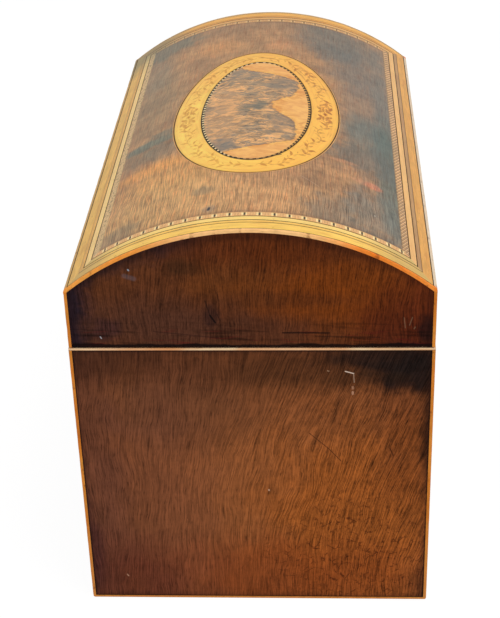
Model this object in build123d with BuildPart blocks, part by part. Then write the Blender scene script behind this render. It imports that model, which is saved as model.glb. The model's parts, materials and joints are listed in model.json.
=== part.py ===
from build123d import *
import math
import os

# Antique dome-topped tea caddy, in millimetres.
# +Z is up, the length runs along X, the lock is at the front (-Y) and the hinges are at the back (+Y).
# The origin is at the middle of the underside.

# Outer sizes
body_length = 284.0
body_depth = 160.0
joint_height = 140.5
lid_side = 28.5
dome_rise = 29.0
lid_setback = 0.2
joint_gap = 0.6

# Boards and veneers
wall = 8.0
base_board = 7.0
dome_board = 5.0
veneer = 1.0
stringing = 1.4
rim = 1.1
baize = 0.4
baize_inset = 2.0

# Tea compartments
partition = 4.0
lining = 3.0
lip = 1.2
ledge_depth = 9.0
foil = 0.4
paper = 0.4
paste = 0.1
inner_lid = 4.5
inner_lid_gap = 0.4
inner_lid_chamfer = 0.8

# Turned knobs
knob_radius = 4.8
knob_height = 12.0
knob_crown = 3.6
knob_crown_rings = 4
knob_neck_radius = 2.0
knob_foot_radius = 3.8
knob_foot = 0.9
knob_neck_height = 4.0
knob_cap_height = 7.0
knob_tenon_radius = 1.6
knob_tenon = 3.2

# Border of the dome, from the edge stringing inwards
ebony_line = 0.5
gold_band = 5.2
tulip_band = 2.4
box_line = 3.1
chequer_band = 3.7

# Oval of the dome, measured along the curve
oval_length = 158.0
oval_width = 84.6
oval_band = 13.7
oval_outer_line = 1.0
oval_inner_line = 1.7
oval_shift_x = -5.9
oval_shift_arc = 1.6
cutter_overrun = 2.0

# Hinges
hinge_inset = 57.0
hinge_length = 32.0
hinge_leaf_width = 9.0
knuckle_length = 12.0
knuckle_gap = 0.15
barrel_radius = 2.2
barrel_clearance = 0.3
pin_radius = 1.0
pin_clearance = 0.05
hinge_flange = 1.2
hinge_flange_drop = 3.2
stop_angle = 100.0
stop_thickness = 1.8
stop_gap = 0.1

# Box lock
selvedge_length = 42.0
selvedge_width = 6.0
case_length = 38.0
case_thickness = 5.2
case_height = 21.0
case_wall = 0.8
staple_spacing = 22.0
staple_thickness = 1.6
staple_width = 3.0
staple_drop = 8.6
staple_clearance = 0.2
eye_width = 1.8
eye_height = 3.6
eye_below_plate = 3.4
link_plate_length = 32.0
bolt_height = 8.0
bolt_clearance = 0.3
bolt_travel = 3.2
bolt_post = 2.0
finger_width = 1.2
finger_height = 2.4
finger_gap = 0.4
key_rise = 4.0
key_pin_radius = 0.9
key_pin_clearance = 0.4
keyhole_radius = 1.7
keyhole_slot = 2.0
keyhole_drop = 5.0
kite_half_width = 6.0
kite_rise = 9.0
kite_fall = 11.0

# Planes worked out from the sizes above
half_length = body_length / 2
half_depth = body_depth / 2
eaves_height = joint_height + lid_side
board_x = half_length - veneer
board_y = half_depth - veneer
inner_x = board_x - wall
inner_y = board_y - wall
base_top = baize + base_board
board_top = joint_height - rim
ledge = joint_height - ledge_depth
lid_bottom = joint_height + joint_gap
lid_half_depth = half_depth - lid_setback
lid_board_y = lid_half_depth - veneer
lid_inner_y = lid_board_y - wall
dome_radius = (lid_half_depth**2 + dome_rise**2) / (2 * dome_rise)
dome_centre = eaves_height + dome_rise - dome_radius
dome_board_radius = dome_radius - veneer
dome_inner_radius = dome_board_radius - dome_board
string_x = half_length - stringing
string_y = half_depth - stringing
lid_string_y = lid_half_depth - stringing
lid_string_bottom = eaves_height - stringing
panel_y = inner_y - lip - inner_lid_gap
axis_y = half_depth + barrel_radius + barrel_clearance
axis_z = joint_height + joint_gap / 2
leaf_inner_y = half_depth - hinge_leaf_width
hinge_offset = half_length - hinge_inset
lock_y = -(board_y - wall / 2)
case_bottom = board_top - case_height
key_z = case_bottom + case_wall + key_rise

os.makedirs("parts", exist_ok=True)


def finish(piece, name):
    """Labels a finished piece and writes it under its own name."""
    piece.part.label = name
    export_step(piece.part, f"parts/{name}.step")


def block(x, y, z, mode=Mode.ADD):
    """Adds to the part in hand, or cuts from it, what lies between two planes each way."""
    with Locations(((x[0] + x[1]) / 2, (y[0] + y[1]) / 2, (z[0] + z[1]) / 2)):
        Box(x[1] - x[0], y[1] - y[0], z[1] - z[0], mode=mode)


def frame_outline(outer_x, outer_y, inner_half_x, inner_half_y):
    """Draws a rectangular frame about the middle of the sketch in hand."""
    Rectangle(2 * outer_x, 2 * outer_y)
    Rectangle(2 * inner_half_x, 2 * inner_half_y, mode=Mode.SUBTRACT)


def corner_squares(outer_x, outer_y, inner_half_x, inner_half_y, mode=Mode.ADD):
    """Draws the four squares where the edge stringing runs up the corners."""
    with GridLocations(outer_x + inner_half_x, outer_y + inner_half_y, 2, 2):
        Rectangle(outer_x - inner_half_x, outer_y - inner_half_y, mode=mode)


def keyhole_outline():
    """Draws a keyhole in a sketch that looks along Y, with Z up."""
    with Locations((0, key_z)):
        Circle(keyhole_radius)
    with Locations((0, key_z - keyhole_drop / 2)):
        Rectangle(keyhole_slot, keyhole_drop)


def kite_outline():
    """Draws the kite of the escutcheon in a sketch that looks along Y, with Z up."""
    Polygon(
        (0, key_z + kite_rise),
        (kite_half_width, key_z),
        (0, key_z - kite_fall),
        (-kite_half_width, key_z),
    )


def front_plane(y):
    """A plane that faces the front, with X to the right and Z up."""
    return Plane(origin=(0, y, 0), x_dir=(1, 0, 0), z_dir=(0, -1, 0))


def dome_shell(inner_radius, outer_radius, half_width, half_span):
    """Adds the stretch of a cylinder's wall that lies over a rectangle of the plan."""
    with BuildSketch(Plane.YZ.offset(-half_span)) as section:
        with Locations((0, dome_centre)):
            Circle(outer_radius)
            Circle(inner_radius, mode=Mode.SUBTRACT)
        with Locations((0, dome_centre + outer_radius)):
            Rectangle(2 * half_width, 2 * outer_radius, mode=Mode.INTERSECT)
    extrude(section.sketch, amount=2 * half_span)


# Baize under the base
with BuildPart() as base_baize:
    with BuildSketch():
        Rectangle(body_length - 2 * baize_inset, body_depth - 2 * baize_inset)
    extrude(amount=baize)
finish(base_baize, "base_baize")

# Base board, rebated for the stringing round its lower edge
with BuildPart() as base_panel:
    with BuildSketch(Plane.XY.offset(baize)):
        Rectangle(2 * board_x, 2 * board_y)
    extrude(amount=base_board)
    with BuildSketch(Plane.XY.offset(baize)):
        frame_outline(board_x, board_y, string_x, string_y)
    extrude(amount=stringing, mode=Mode.SUBTRACT)
    with BuildSketch(Plane.XY.offset(baize)):
        corner_squares(board_x, board_y, string_x, string_y)
    extrude(amount=base_board, mode=Mode.SUBTRACT)
finish(base_panel, "base_board")


def long_board(side):
    """Adds a front or back board of the carcass, with the corners rebated for the stringing."""
    with BuildSketch(Plane.XY.offset(base_top)) as plan:
        with Locations((0, side * (board_y + inner_y) / 2)):
            Rectangle(2 * board_x, wall)
        corner_squares(board_x, board_y, string_x, string_y, mode=Mode.SUBTRACT)
    extrude(plan.sketch, amount=board_top - base_top)


with BuildPart() as front_board:
    long_board(-1)
    block(
        (-case_length / 2, case_length / 2),
        (lock_y - case_thickness / 2, lock_y + case_thickness / 2),
        (case_bottom, board_top),
        mode=Mode.SUBTRACT,
    )
    with BuildSketch(front_plane(lock_y)):
        keyhole_outline()
    extrude(amount=wall, mode=Mode.SUBTRACT)
finish(front_board, "front_board")

with BuildPart() as back_board:
    long_board(1)
finish(back_board, "back_board")

for side, hand in ((-1, "left"), (1, "right")):
    with BuildPart() as end_board:
        with BuildSketch(Plane.XY.offset(base_top)):
            with Locations((side * (board_x + inner_x) / 2, 0)):
                Rectangle(wall, 2 * inner_y)
        extrude(amount=board_top - base_top)
    finish(end_board, f"end_board_{hand}")

# Veneers of the carcass, between the stringings
veneer_bottom = baize + stringing
veneer_rise = board_top - veneer_bottom

with BuildPart() as front_veneer:
    with BuildSketch(Plane.XY.offset(veneer_bottom)):
        with Locations((0, -(half_depth + board_y) / 2)):
            Rectangle(2 * string_x, veneer)
    extrude(amount=veneer_rise)
    with BuildSketch(front_plane(-board_y)):
        kite_outline()
    extrude(amount=veneer, mode=Mode.SUBTRACT)
finish(front_veneer, "front_veneer")

with BuildPart() as back_veneer:
    with BuildSketch(Plane.XY.offset(veneer_bottom)):
        with Locations((0, (half_depth + board_y) / 2)):
            Rectangle(2 * string_x, veneer)
    extrude(amount=veneer_rise)
finish(back_veneer, "back_veneer")

for side, hand in ((-1, "left"), (1, "right")):
    with BuildPart() as end_veneer:
        with BuildSketch(Plane.XY.offset(veneer_bottom)):
            with Locations((side * (half_length + board_x) / 2, 0)):
                Rectangle(veneer, 2 * string_y)
        extrude(amount=veneer_rise)
    finish(end_veneer, f"end_veneer_{hand}")

# Boxwood stringing along the edges of the carcass
with BuildPart() as corner_stringing:
    with BuildSketch(Plane.XY.offset(veneer_bottom)):
        corner_squares(half_length, half_depth, string_x, string_y)
    extrude(amount=veneer_rise)
finish(corner_stringing, "corner_stringing")

with BuildPart() as base_stringing:
    with BuildSketch(Plane.XY.offset(baize)):
        frame_outline(half_length, half_depth, string_x, string_y)
    extrude(amount=stringing)
finish(base_stringing, "base_stringing")


def hinge_pockets(y_high, z_low, depth):
    """Cuts the two pockets that the hinge leaves lie in."""
    for side in (-1, 1):
        block(
            (side * hinge_offset - hinge_length / 2, side * hinge_offset + hinge_length / 2),
            (leaf_inner_y, y_high),
            (z_low, z_low + depth),
            mode=Mode.SUBTRACT,
        )


with BuildPart() as rim_stringing:
    with BuildSketch(Plane.XY.offset(board_top)):
        frame_outline(half_length, half_depth, string_x, string_y)
    extrude(amount=rim)
    hinge_pockets(half_depth, board_top, rim)
finish(rim_stringing, "rim_stringing")

with BuildPart() as rim_facing:
    with BuildSketch(Plane.XY.offset(board_top)):
        frame_outline(string_x, string_y, inner_x - lip, inner_y - lip)
    extrude(amount=rim)
    hinge_pockets(half_depth, board_top, rim)
    block(
        (-selvedge_length / 2, selvedge_length / 2),
        (lock_y - selvedge_width / 2, lock_y + selvedge_width / 2),
        (board_top, joint_height),
        mode=Mode.SUBTRACT,
    )
finish(rim_facing, "rim_facing")

# Escutcheon let into the front veneer
with BuildPart() as escutcheon:
    with BuildSketch(front_plane(-board_y)):
        kite_outline()
        with Locations((0, key_z)):
            Circle(keyhole_radius, mode=Mode.SUBTRACT)
        with Locations((0, key_z - keyhole_drop / 2)):
            Rectangle(keyhole_slot, keyhole_drop, mode=Mode.SUBTRACT)
    extrude(amount=veneer)
finish(escutcheon, "escutcheon")

# Partition, linings and foil of the tea compartments
with BuildPart() as partition_board:
    with BuildSketch(Plane.XY.offset(base_top)):
        Rectangle(partition, 2 * inner_y)
    extrude(amount=ledge + inner_lid - base_top)
finish(partition_board, "partition")

compartment_length = inner_x - partition / 2
compartment_x = (inner_x + partition / 2) / 2

for side, hand in ((-1, "left"), (1, "right")):
    with BuildPart() as compartment_lining:
        with BuildSketch(Plane.XY.offset(base_top)):
            with Locations((side * compartment_x, 0)):
                frame_outline(
                    compartment_length / 2,
                    inner_y,
                    compartment_length / 2 - lining,
                    inner_y - lining,
                )
        extrude(amount=ledge - base_top)
        with BuildSketch(Plane.XY.offset(ledge)):
            with Locations((side * compartment_x, 0)):
                Rectangle(compartment_length, 2 * inner_y)
            with Locations((side * (compartment_x - lip / 2), 0)):
                Rectangle(compartment_length - lip, 2 * (inner_y - lip), mode=Mode.SUBTRACT)
        extrude(amount=board_top - ledge)
    finish(compartment_lining, f"lining_{hand}")

    with BuildPart() as foil_lining:
        with BuildSketch(Plane.XY.offset(base_top)):
            with Locations((side * compartment_x, 0)):
                Rectangle(compartment_length - 2 * lining, 2 * (inner_y - lining))
        extrude(amount=ledge - base_top)
        offset(amount=-foil, openings=foil_lining.faces().sort_by(Axis.Z)[-1])
    finish(foil_lining, f"foil_{hand}")

# Lift-off inner lids with turned knobs
panel_near_x = partition / 2 + inner_lid_gap
panel_far_x = inner_x - lip - inner_lid_gap
knob_x = (panel_near_x + panel_far_x) / 2
panel_top = ledge + inner_lid
knob_top = panel_top + knob_height
crown_radius = (knob_radius**2 + knob_crown**2) / (2 * knob_crown)
crown_step = math.asin(knob_radius / crown_radius) / knob_crown_rings

for side, hand in ((-1, "left"), (1, "right")):
    with BuildPart() as inner_panel:
        with BuildSketch(Plane.XY.offset(ledge)):
            with Locations((side * knob_x, 0)):
                Rectangle(panel_far_x - panel_near_x, 2 * panel_y)
        extrude(amount=inner_lid)
        chamfer(inner_panel.faces().sort_by(Axis.Z)[-1].edges(), length=inner_lid_chamfer)
        with Locations((side * knob_x, 0, panel_top)):
            Hole(knob_tenon_radius, depth=knob_tenon)
    finish(inner_panel, f"inner_lid_{hand}")

    with BuildPart() as knob:
        with BuildSketch(front_plane(0).move(Location((side * knob_x, 0, 0)))):
            with BuildLine():
                Polyline(
                    (0, knob_top),
                    (0, panel_top - knob_tenon),
                    (knob_tenon_radius, panel_top - knob_tenon),
                    (knob_tenon_radius, panel_top),
                    (knob_foot_radius, panel_top),
                    (knob_foot_radius, panel_top + knob_foot),
                    (knob_neck_radius, panel_top + knob_neck_height),
                    (knob_radius, panel_top + knob_cap_height),
                    *[
                        (
                            crown_radius * math.sin(ring * crown_step),
                            knob_top - crown_radius * (1 - math.cos(ring * crown_step)),
                        )
                        for ring in range(knob_crown_rings, -1, -1)
                    ],
                )
            make_face()
        revolve(axis=Axis((side * knob_x, 0, 0), (0, 0, 1)))
    finish(knob, f"knob_{hand}")

# Lid: two rails and two arched ends under a bent board
lid_board_bottom = lid_bottom + rim


def lid_wall_profile(half_width):
    """Draws the lid's cross-section under the bent board, as wide as asked."""
    with Locations((0, dome_centre)):
        Circle(dome_inner_radius)
    with Locations((0, lid_board_bottom + dome_radius)):
        Rectangle(2 * half_width, 2 * dome_radius, mode=Mode.INTERSECT)


for side, hand in ((-1, "front"), (1, "back")):
    with BuildPart() as rail:
        with BuildSketch(Plane.YZ.offset(-board_x)):
            lid_wall_profile(lid_board_y)
            with Locations((-side * wall / 2, lid_board_bottom + dome_radius)):
                Rectangle(2 * lid_board_y - wall, 2 * dome_radius, mode=Mode.SUBTRACT)
        extrude(amount=2 * board_x)
        with BuildSketch(Plane.XY.offset(lid_board_bottom)):
            corner_squares(board_x, lid_board_y, string_x, lid_string_y)
        extrude(amount=eaves_height - lid_board_bottom, mode=Mode.SUBTRACT)
    finish(rail, f"lid_rail_{hand}")

for side, hand in ((-1, "left"), (1, "right")):
    with BuildPart() as lid_end:
        with BuildSketch(Plane.YZ.offset(side * inner_x)):
            lid_wall_profile(lid_inner_y)
        extrude(amount=side * wall)
    finish(lid_end, f"lid_end_{hand}")

with BuildPart() as domed_board:
    dome_shell(dome_inner_radius, dome_board_radius, lid_board_y, board_x)
    for side in (-1, 1):
        with BuildSketch(Plane.YZ.offset(side * string_x)):
            with Locations((0, dome_centre)):
                Circle(dome_radius)
                Circle(dome_radius - stringing, mode=Mode.SUBTRACT)
        extrude(amount=side * veneer, mode=Mode.SUBTRACT)
        block(
            (-board_x, board_x),
            sorted((side * lid_string_y, side * lid_half_depth)),
            (lid_string_bottom, eaves_height + stringing),
            mode=Mode.SUBTRACT,
        )
    with BuildSketch(Plane.XY.offset(lid_board_bottom)):
        corner_squares(board_x, lid_board_y, string_x, lid_string_y)
    extrude(amount=eaves_height - lid_board_bottom, mode=Mode.SUBTRACT)
finish(domed_board, "dome_board")

# Veneers of the lid's four sides
with BuildPart() as lid_front_veneer:
    with BuildSketch(Plane.XY.offset(lid_bottom)):
        with Locations((0, -(lid_half_depth + lid_board_y) / 2)):
            Rectangle(2 * string_x, veneer)
    extrude(amount=lid_string_bottom - lid_bottom)
finish(lid_front_veneer, "lid_front_veneer")

with BuildPart() as lid_back_veneer:
    with BuildSketch(Plane.XY.offset(lid_bottom)):
        with Locations((0, (lid_half_depth + lid_board_y) / 2)):
            Rectangle(2 * string_x, veneer)
    extrude(amount=lid_string_bottom - lid_bottom)
    hinge_pockets(lid_half_depth, lid_bottom, rim)
finish(lid_back_veneer, "lid_back_veneer")

for side, hand in ((-1, "left"), (1, "right")):
    with BuildPart() as lid_end_veneer:
        with BuildSketch(Plane.YZ.offset(side * board_x)):
            with Locations((0, dome_centre)):
                Circle(dome_radius - stringing)
            with Locations((0, lid_bottom + dome_radius)):
                Rectangle(2 * lid_string_y, 2 * dome_radius, mode=Mode.INTERSECT)
        extrude(amount=side * veneer)
    finish(lid_end_veneer, f"lid_end_veneer_{hand}")

with BuildPart() as lid_facing:
    with BuildSketch(Plane.XY.offset(lid_bottom)):
        frame_outline(board_x, lid_board_y, inner_x, lid_inner_y)
        corner_squares(board_x, lid_board_y, string_x, lid_string_y, mode=Mode.SUBTRACT)
    extrude(amount=rim)
    hinge_pockets(lid_board_y, lid_bottom, rim)
    block(
        (-link_plate_length / 2, link_plate_length / 2),
        (lock_y - case_thickness / 2, lock_y + case_thickness / 2),
        (lid_bottom, lid_board_bottom),
        mode=Mode.SUBTRACT,
    )
finish(lid_facing, "lid_rim_facing")

# Boxwood stringing along the lid's edges
with BuildPart() as lid_corner_stringing:
    with BuildSketch(Plane.XY.offset(lid_bottom)):
        corner_squares(half_length, lid_half_depth, string_x, lid_string_y)
    extrude(amount=lid_string_bottom - lid_bottom)
finish(lid_corner_stringing, "lid_corner_stringing")

with BuildPart() as eaves_stringing:
    with BuildSketch(Plane.YZ.offset(-half_length)):
        with Locations((0, dome_centre)):
            Circle(dome_radius)
        with Locations((0, lid_string_bottom + dome_rise / 2)):
            with GridLocations(lid_half_depth + lid_string_y, 0, 2, 1):
                Rectangle(stringing, dome_rise, mode=Mode.INTERSECT)
    extrude(amount=body_length)
finish(eaves_stringing, "eaves_stringing")

with BuildPart() as arch_stringing:
    dome_shell(dome_radius - stringing, dome_radius, lid_string_y, half_length)
    with BuildSketch(Plane.XY.offset(lid_string_bottom)):
        Rectangle(2 * string_x, body_depth)
    extrude(amount=dome_rise + stringing + cutter_overrun, mode=Mode.SUBTRACT)
finish(arch_stringing, "arch_stringing")

# Marquetry of the dome: every piece is cut from the curved layer between the board and the surface
border_arc = dome_radius * math.asin(lid_string_y / dome_radius)


def border_edge(inset):
    """Half length and half width in plan of the border's outline, that far in along the surface."""
    return string_x - inset, dome_radius * math.sin((border_arc - inset) / dome_radius)


def oval_sides(inset):
    """Where the oval's two long sides lie in plan, that far in along the surface."""
    reach = oval_width / 2 - inset
    return [dome_radius * math.sin((oval_shift_arc + side * reach) / dome_radius) for side in (-1, 1)]


def marquetry(name, *outlines):
    """Makes one node of dome marquetry from plan outlines, each a list of (shape, size, mode)."""
    with BuildPart() as inlay:
        dome_shell(dome_board_radius, dome_radius, lid_string_y, string_x)
        with BuildSketch(Plane.XY.offset(lid_string_bottom)) as plan:
            for shape, size, mode in outlines:
                if shape == "border":
                    half_x, half_y = border_edge(size)
                    Rectangle(2 * half_x, 2 * half_y, mode=mode)
                else:
                    low, high = oval_sides(size)
                    with Locations((oval_shift_x, (low + high) / 2)):
                        Ellipse(oval_length / 2 - size, (high - low) / 2, mode=mode)
        extrude(
            plan.sketch,
            amount=dome_rise + stringing + cutter_overrun,
            mode=Mode.INTERSECT,
        )
    finish(inlay, name)


gold_start = ebony_line
tulip_start = gold_start + gold_band
second_line = tulip_start + tulip_band
box_start = second_line + ebony_line
third_line = box_start + box_line
chequer_start = third_line + ebony_line
field_start = chequer_start + chequer_band
inner_line_start = oval_outer_line + oval_band
medallion_start = inner_line_start + oval_inner_line

marquetry(
    "gold_banding",
    ("border", gold_start, Mode.ADD),
    ("border", tulip_start, Mode.SUBTRACT),
)
marquetry(
    "tulipwood_banding",
    ("border", tulip_start, Mode.ADD),
    ("border", second_line, Mode.SUBTRACT),
)
marquetry(
    "boxwood_line",
    ("border", box_start, Mode.ADD),
    ("border", third_line, Mode.SUBTRACT),
)
marquetry(
    "chequer_banding",
    ("border", chequer_start, Mode.ADD),
    ("border", field_start, Mode.SUBTRACT),
)
marquetry(
    "ebony_lines",
    ("border", 0, Mode.ADD),
    ("border", gold_start, Mode.SUBTRACT),
    ("border", second_line, Mode.ADD),
    ("border", box_start, Mode.SUBTRACT),
    ("border", third_line, Mode.ADD),
    ("border", chequer_start, Mode.SUBTRACT),
)
marquetry(
    "dome_field",
    ("border", field_start, Mode.ADD),
    ("oval", 0, Mode.SUBTRACT),
)
marquetry(
    "oval_outer_line",
    ("oval", 0, Mode.ADD),
    ("oval", oval_outer_line, Mode.SUBTRACT),
)
marquetry(
    "oval_band",
    ("oval", oval_outer_line, Mode.ADD),
    ("oval", inner_line_start, Mode.SUBTRACT),
)
marquetry(
    "oval_inner_line",
    ("oval", inner_line_start, Mode.ADD),
    ("oval", medallion_start, Mode.SUBTRACT),
)
marquetry(
    "burr_medallion",
    ("oval", medallion_start, Mode.ADD),
)

# Paper inside the dome
with BuildPart() as lid_paper:
    dome_shell(dome_inner_radius - paste - paper, dome_inner_radius - paste, lid_inner_y, inner_x)
finish(lid_paper, "lid_paper")


# Brass stop hinges
def knuckle(x, radius, bore):
    """Adds one knuckle round the hinge axis, between two planes across X."""
    for size, mode in ((radius, Mode.ADD), (bore, Mode.SUBTRACT)):
        with BuildSketch(Plane.YZ.offset(x[0])) as section:
            with Locations((axis_y, axis_z)):
                Circle(size)
        extrude(section.sketch, amount=x[1] - x[0], mode=mode)


for side, hand in ((-1, "left"), (1, "right")):
    middle = side * hinge_offset
    low = middle - hinge_length / 2
    high = middle + hinge_length / 2
    notch_low = middle - knuckle_length / 2 - knuckle_gap
    notch_high = middle + knuckle_length / 2 + knuckle_gap
    flange_top = axis_z - barrel_radius - barrel_clearance
    flange_bottom = flange_top - hinge_flange_drop

    with BuildPart() as body_leaf:
        block((low, high), (leaf_inner_y, half_depth), (board_top, joint_height))
        for outer in ((low, notch_low), (notch_high, high)):
            block(outer, (half_depth, axis_y), (board_top, joint_height))
            block(outer, (half_depth, half_depth + hinge_flange), (flange_bottom, joint_height))
        block((low, high), (half_depth, half_depth + hinge_flange), (flange_bottom, flange_top))
        for outer in ((low, notch_low), (notch_high, high)):
            knuckle(outer, barrel_radius, pin_radius)
    finish(body_leaf, f"hinge_{hand}_body_leaf")

    with BuildPart() as lid_leaf:
        block((low, high), (leaf_inner_y, lid_half_depth), (lid_bottom, lid_board_bottom))
        tongue = (notch_low + knuckle_gap, notch_high - knuckle_gap)
        block(tongue, (lid_half_depth, axis_y), (lid_bottom, lid_board_bottom))
        with BuildSketch(Plane.YZ.offset(tongue[0])):
            with Locations(Location((axis_y, axis_z, 0), stop_angle)):
                stop_face = half_depth + hinge_flange + stop_gap - axis_y
                Polygon(
                    (stop_face, 0),
                    (stop_face + stop_thickness, 0),
                    (stop_face + stop_thickness, flange_bottom - axis_z),
                    (stop_face, flange_bottom - axis_z),
                )
        extrude(amount=tongue[1] - tongue[0])
        knuckle(tongue, barrel_radius, pin_radius + pin_clearance)
    finish(lid_leaf, f"hinge_{hand}_lid_leaf")

    with BuildPart() as hinge_pin:
        with BuildSketch(Plane.YZ.offset(low)):
            with Locations((axis_y, axis_z)):
                Circle(pin_radius)
        extrude(amount=hinge_length)
    finish(hinge_pin, f"hinge_{hand}_pin")

# Box lock in the front board
with BuildPart() as lock_case:
    block(
        (-selvedge_length / 2, selvedge_length / 2),
        (lock_y - selvedge_width / 2, lock_y + selvedge_width / 2),
        (board_top, joint_height),
    )
    block(
        (-case_length / 2, case_length / 2),
        (lock_y - case_thickness / 2, lock_y + case_thickness / 2),
        (case_bottom, board_top),
    )
    cavity_half = case_thickness / 2 - case_wall
    block(
        (-case_length / 2 + case_wall, case_length / 2 - case_wall),
        (lock_y - cavity_half, lock_y + cavity_half),
        (case_bottom + case_wall, board_top),
        mode=Mode.SUBTRACT,
    )
    with BuildSketch(Plane.XY.offset(board_top)):
        with Locations((0, lock_y)):
            with GridLocations(staple_spacing, 0, 2, 1):
                Rectangle(
                    staple_thickness + 2 * staple_clearance,
                    staple_width + 2 * staple_clearance,
                )
    extrude(amount=rim, mode=Mode.SUBTRACT)
    with BuildSketch(front_plane(lock_y)):
        keyhole_outline()
    extrude(amount=case_thickness, mode=Mode.SUBTRACT)
    with BuildSketch(front_plane(lock_y + cavity_half)):
        with Locations((0, key_z)):
            Circle(key_pin_radius)
    extrude(amount=2 * cavity_half)
finish(lock_case, "lock_case")

with BuildPart() as link_plate:
    block(
        (-link_plate_length / 2, link_plate_length / 2),
        (lock_y - case_thickness / 2, lock_y + case_thickness / 2),
        (lid_bottom, lid_board_bottom),
    )
    with BuildSketch(Plane.XY.offset(lid_bottom)):
        with Locations((0, lock_y)):
            with GridLocations(staple_spacing, 0, 2, 1):
                Rectangle(staple_thickness, staple_width)
    extrude(amount=-staple_drop)
    eye_top = lid_bottom - eye_below_plate
    block(
        (-staple_spacing, staple_spacing),
        (lock_y - eye_width / 2, lock_y + eye_width / 2),
        (eye_top - eye_height, eye_top),
        mode=Mode.SUBTRACT,
    )
finish(link_plate, "link_plate")

with BuildPart() as lock_bolt:
    bolt_half = case_thickness / 2 - case_wall - bolt_clearance
    bolt_floor = case_bottom + case_wall + bolt_clearance
    finger_middle = eye_top - eye_height / 2
    reach = staple_thickness / 2 + finger_gap
    block(
        (-staple_spacing / 2 - reach - bolt_travel - bolt_post, staple_spacing / 2 - reach),
        (lock_y - bolt_half, lock_y + bolt_half),
        (bolt_floor, bolt_floor + bolt_height),
    )
    for staple_x in (-staple_spacing / 2, staple_spacing / 2):
        post_face = staple_x - reach - bolt_travel
        block(
            (post_face - bolt_post, post_face),
            (lock_y - finger_width / 2, lock_y + finger_width / 2),
            (bolt_floor + bolt_height, finger_middle + finger_height / 2),
        )
        block(
            (post_face, staple_x - reach),
            (lock_y - finger_width / 2, lock_y + finger_width / 2),
            (finger_middle - finger_height / 2, finger_middle + finger_height / 2),
        )
    pin_room = key_pin_radius + key_pin_clearance
    block(
        (-pin_room - bolt_travel, pin_room),
        (lock_y - bolt_half, lock_y + bolt_half),
        (bolt_floor, key_z + pin_room),
        mode=Mode.SUBTRACT,
    )
finish(lock_bolt, "lock_bolt")


print("dome radius", round(dome_radius, 2), "and its centre's height", round(dome_centre, 2))
print("overall height", eaves_height + dome_rise)
print("hinge axis", round(axis_y, 2), round(axis_z, 2), "inner lid top", round(panel_top, 2))
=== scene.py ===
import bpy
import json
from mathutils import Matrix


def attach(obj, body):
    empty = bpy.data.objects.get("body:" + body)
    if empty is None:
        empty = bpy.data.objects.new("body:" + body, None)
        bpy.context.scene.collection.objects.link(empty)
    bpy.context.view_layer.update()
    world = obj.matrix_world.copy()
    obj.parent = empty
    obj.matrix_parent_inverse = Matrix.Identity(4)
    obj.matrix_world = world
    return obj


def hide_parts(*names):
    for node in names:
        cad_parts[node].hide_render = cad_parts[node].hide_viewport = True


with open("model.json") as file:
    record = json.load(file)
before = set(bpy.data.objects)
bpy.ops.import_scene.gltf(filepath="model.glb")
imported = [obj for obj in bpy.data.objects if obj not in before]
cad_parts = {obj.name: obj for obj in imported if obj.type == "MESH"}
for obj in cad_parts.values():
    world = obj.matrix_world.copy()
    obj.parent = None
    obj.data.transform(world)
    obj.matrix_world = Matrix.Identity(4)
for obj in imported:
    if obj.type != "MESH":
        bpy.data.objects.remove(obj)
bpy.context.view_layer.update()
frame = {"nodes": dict(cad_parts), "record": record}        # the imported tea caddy, with its bodies at rest

import json
import math

import bmesh
import bpy
import numpy as np
from mathutils import Matrix, Vector

MM = 0.001

# Sizes of the caddy in millimetres, as in the part's source
half_length = 142.0
half_depth = 80.0
joint_height = 140.5
lid_bottom = 141.1
eaves_height = 169.0
dome_rise = 29.0
lid_half_depth = 79.8
stringing = 1.4
veneer = 1.0
rim = 1.1
baize = 0.4
foot_top = baize + stringing
rim_bottom = joint_height - rim
joint_middle = (joint_height + lid_bottom) / 2
dome_board = 5.0
dome_radius = (lid_half_depth**2 + dome_rise**2) / (2 * dome_rise)
dome_centre = eaves_height + dome_rise - dome_radius
string_x = half_length - stringing
string_y = half_depth - stringing
lid_string_y = lid_half_depth - stringing
lid_string_bottom = eaves_height - stringing
border_arc = dome_radius * math.asin(lid_string_y / dome_radius)
wall_x = 133.0
lid_inner_y = 70.8
panel_top = 136.0
knob_x = 66.9
hinge_offset = 85.0

# Border of the dome, distances in from the edge stringing
gold_start = 0.5
tulip_start = 5.7
second_line = 8.1
box_start = 8.6
third_line = 11.7
chequer_start = 12.2
field_start = 15.9

# Oval of the dome: where its middle lies, and distances in from its edge
oval_length = 158.0
oval_width = 84.6
oval_shift_x = -5.9
oval_shift_arc = 1.6
outer_line = 1.0
inner_line_start = 14.7
medallion_start = 16.4

rng = np.random.default_rng(1790)


def placed(name, data):
    """A new object, put into the scene."""
    thing = bpy.data.objects.new(name, data)
    bpy.context.collection.objects.link(thing)
    return thing


# ---- Meshes


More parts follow.
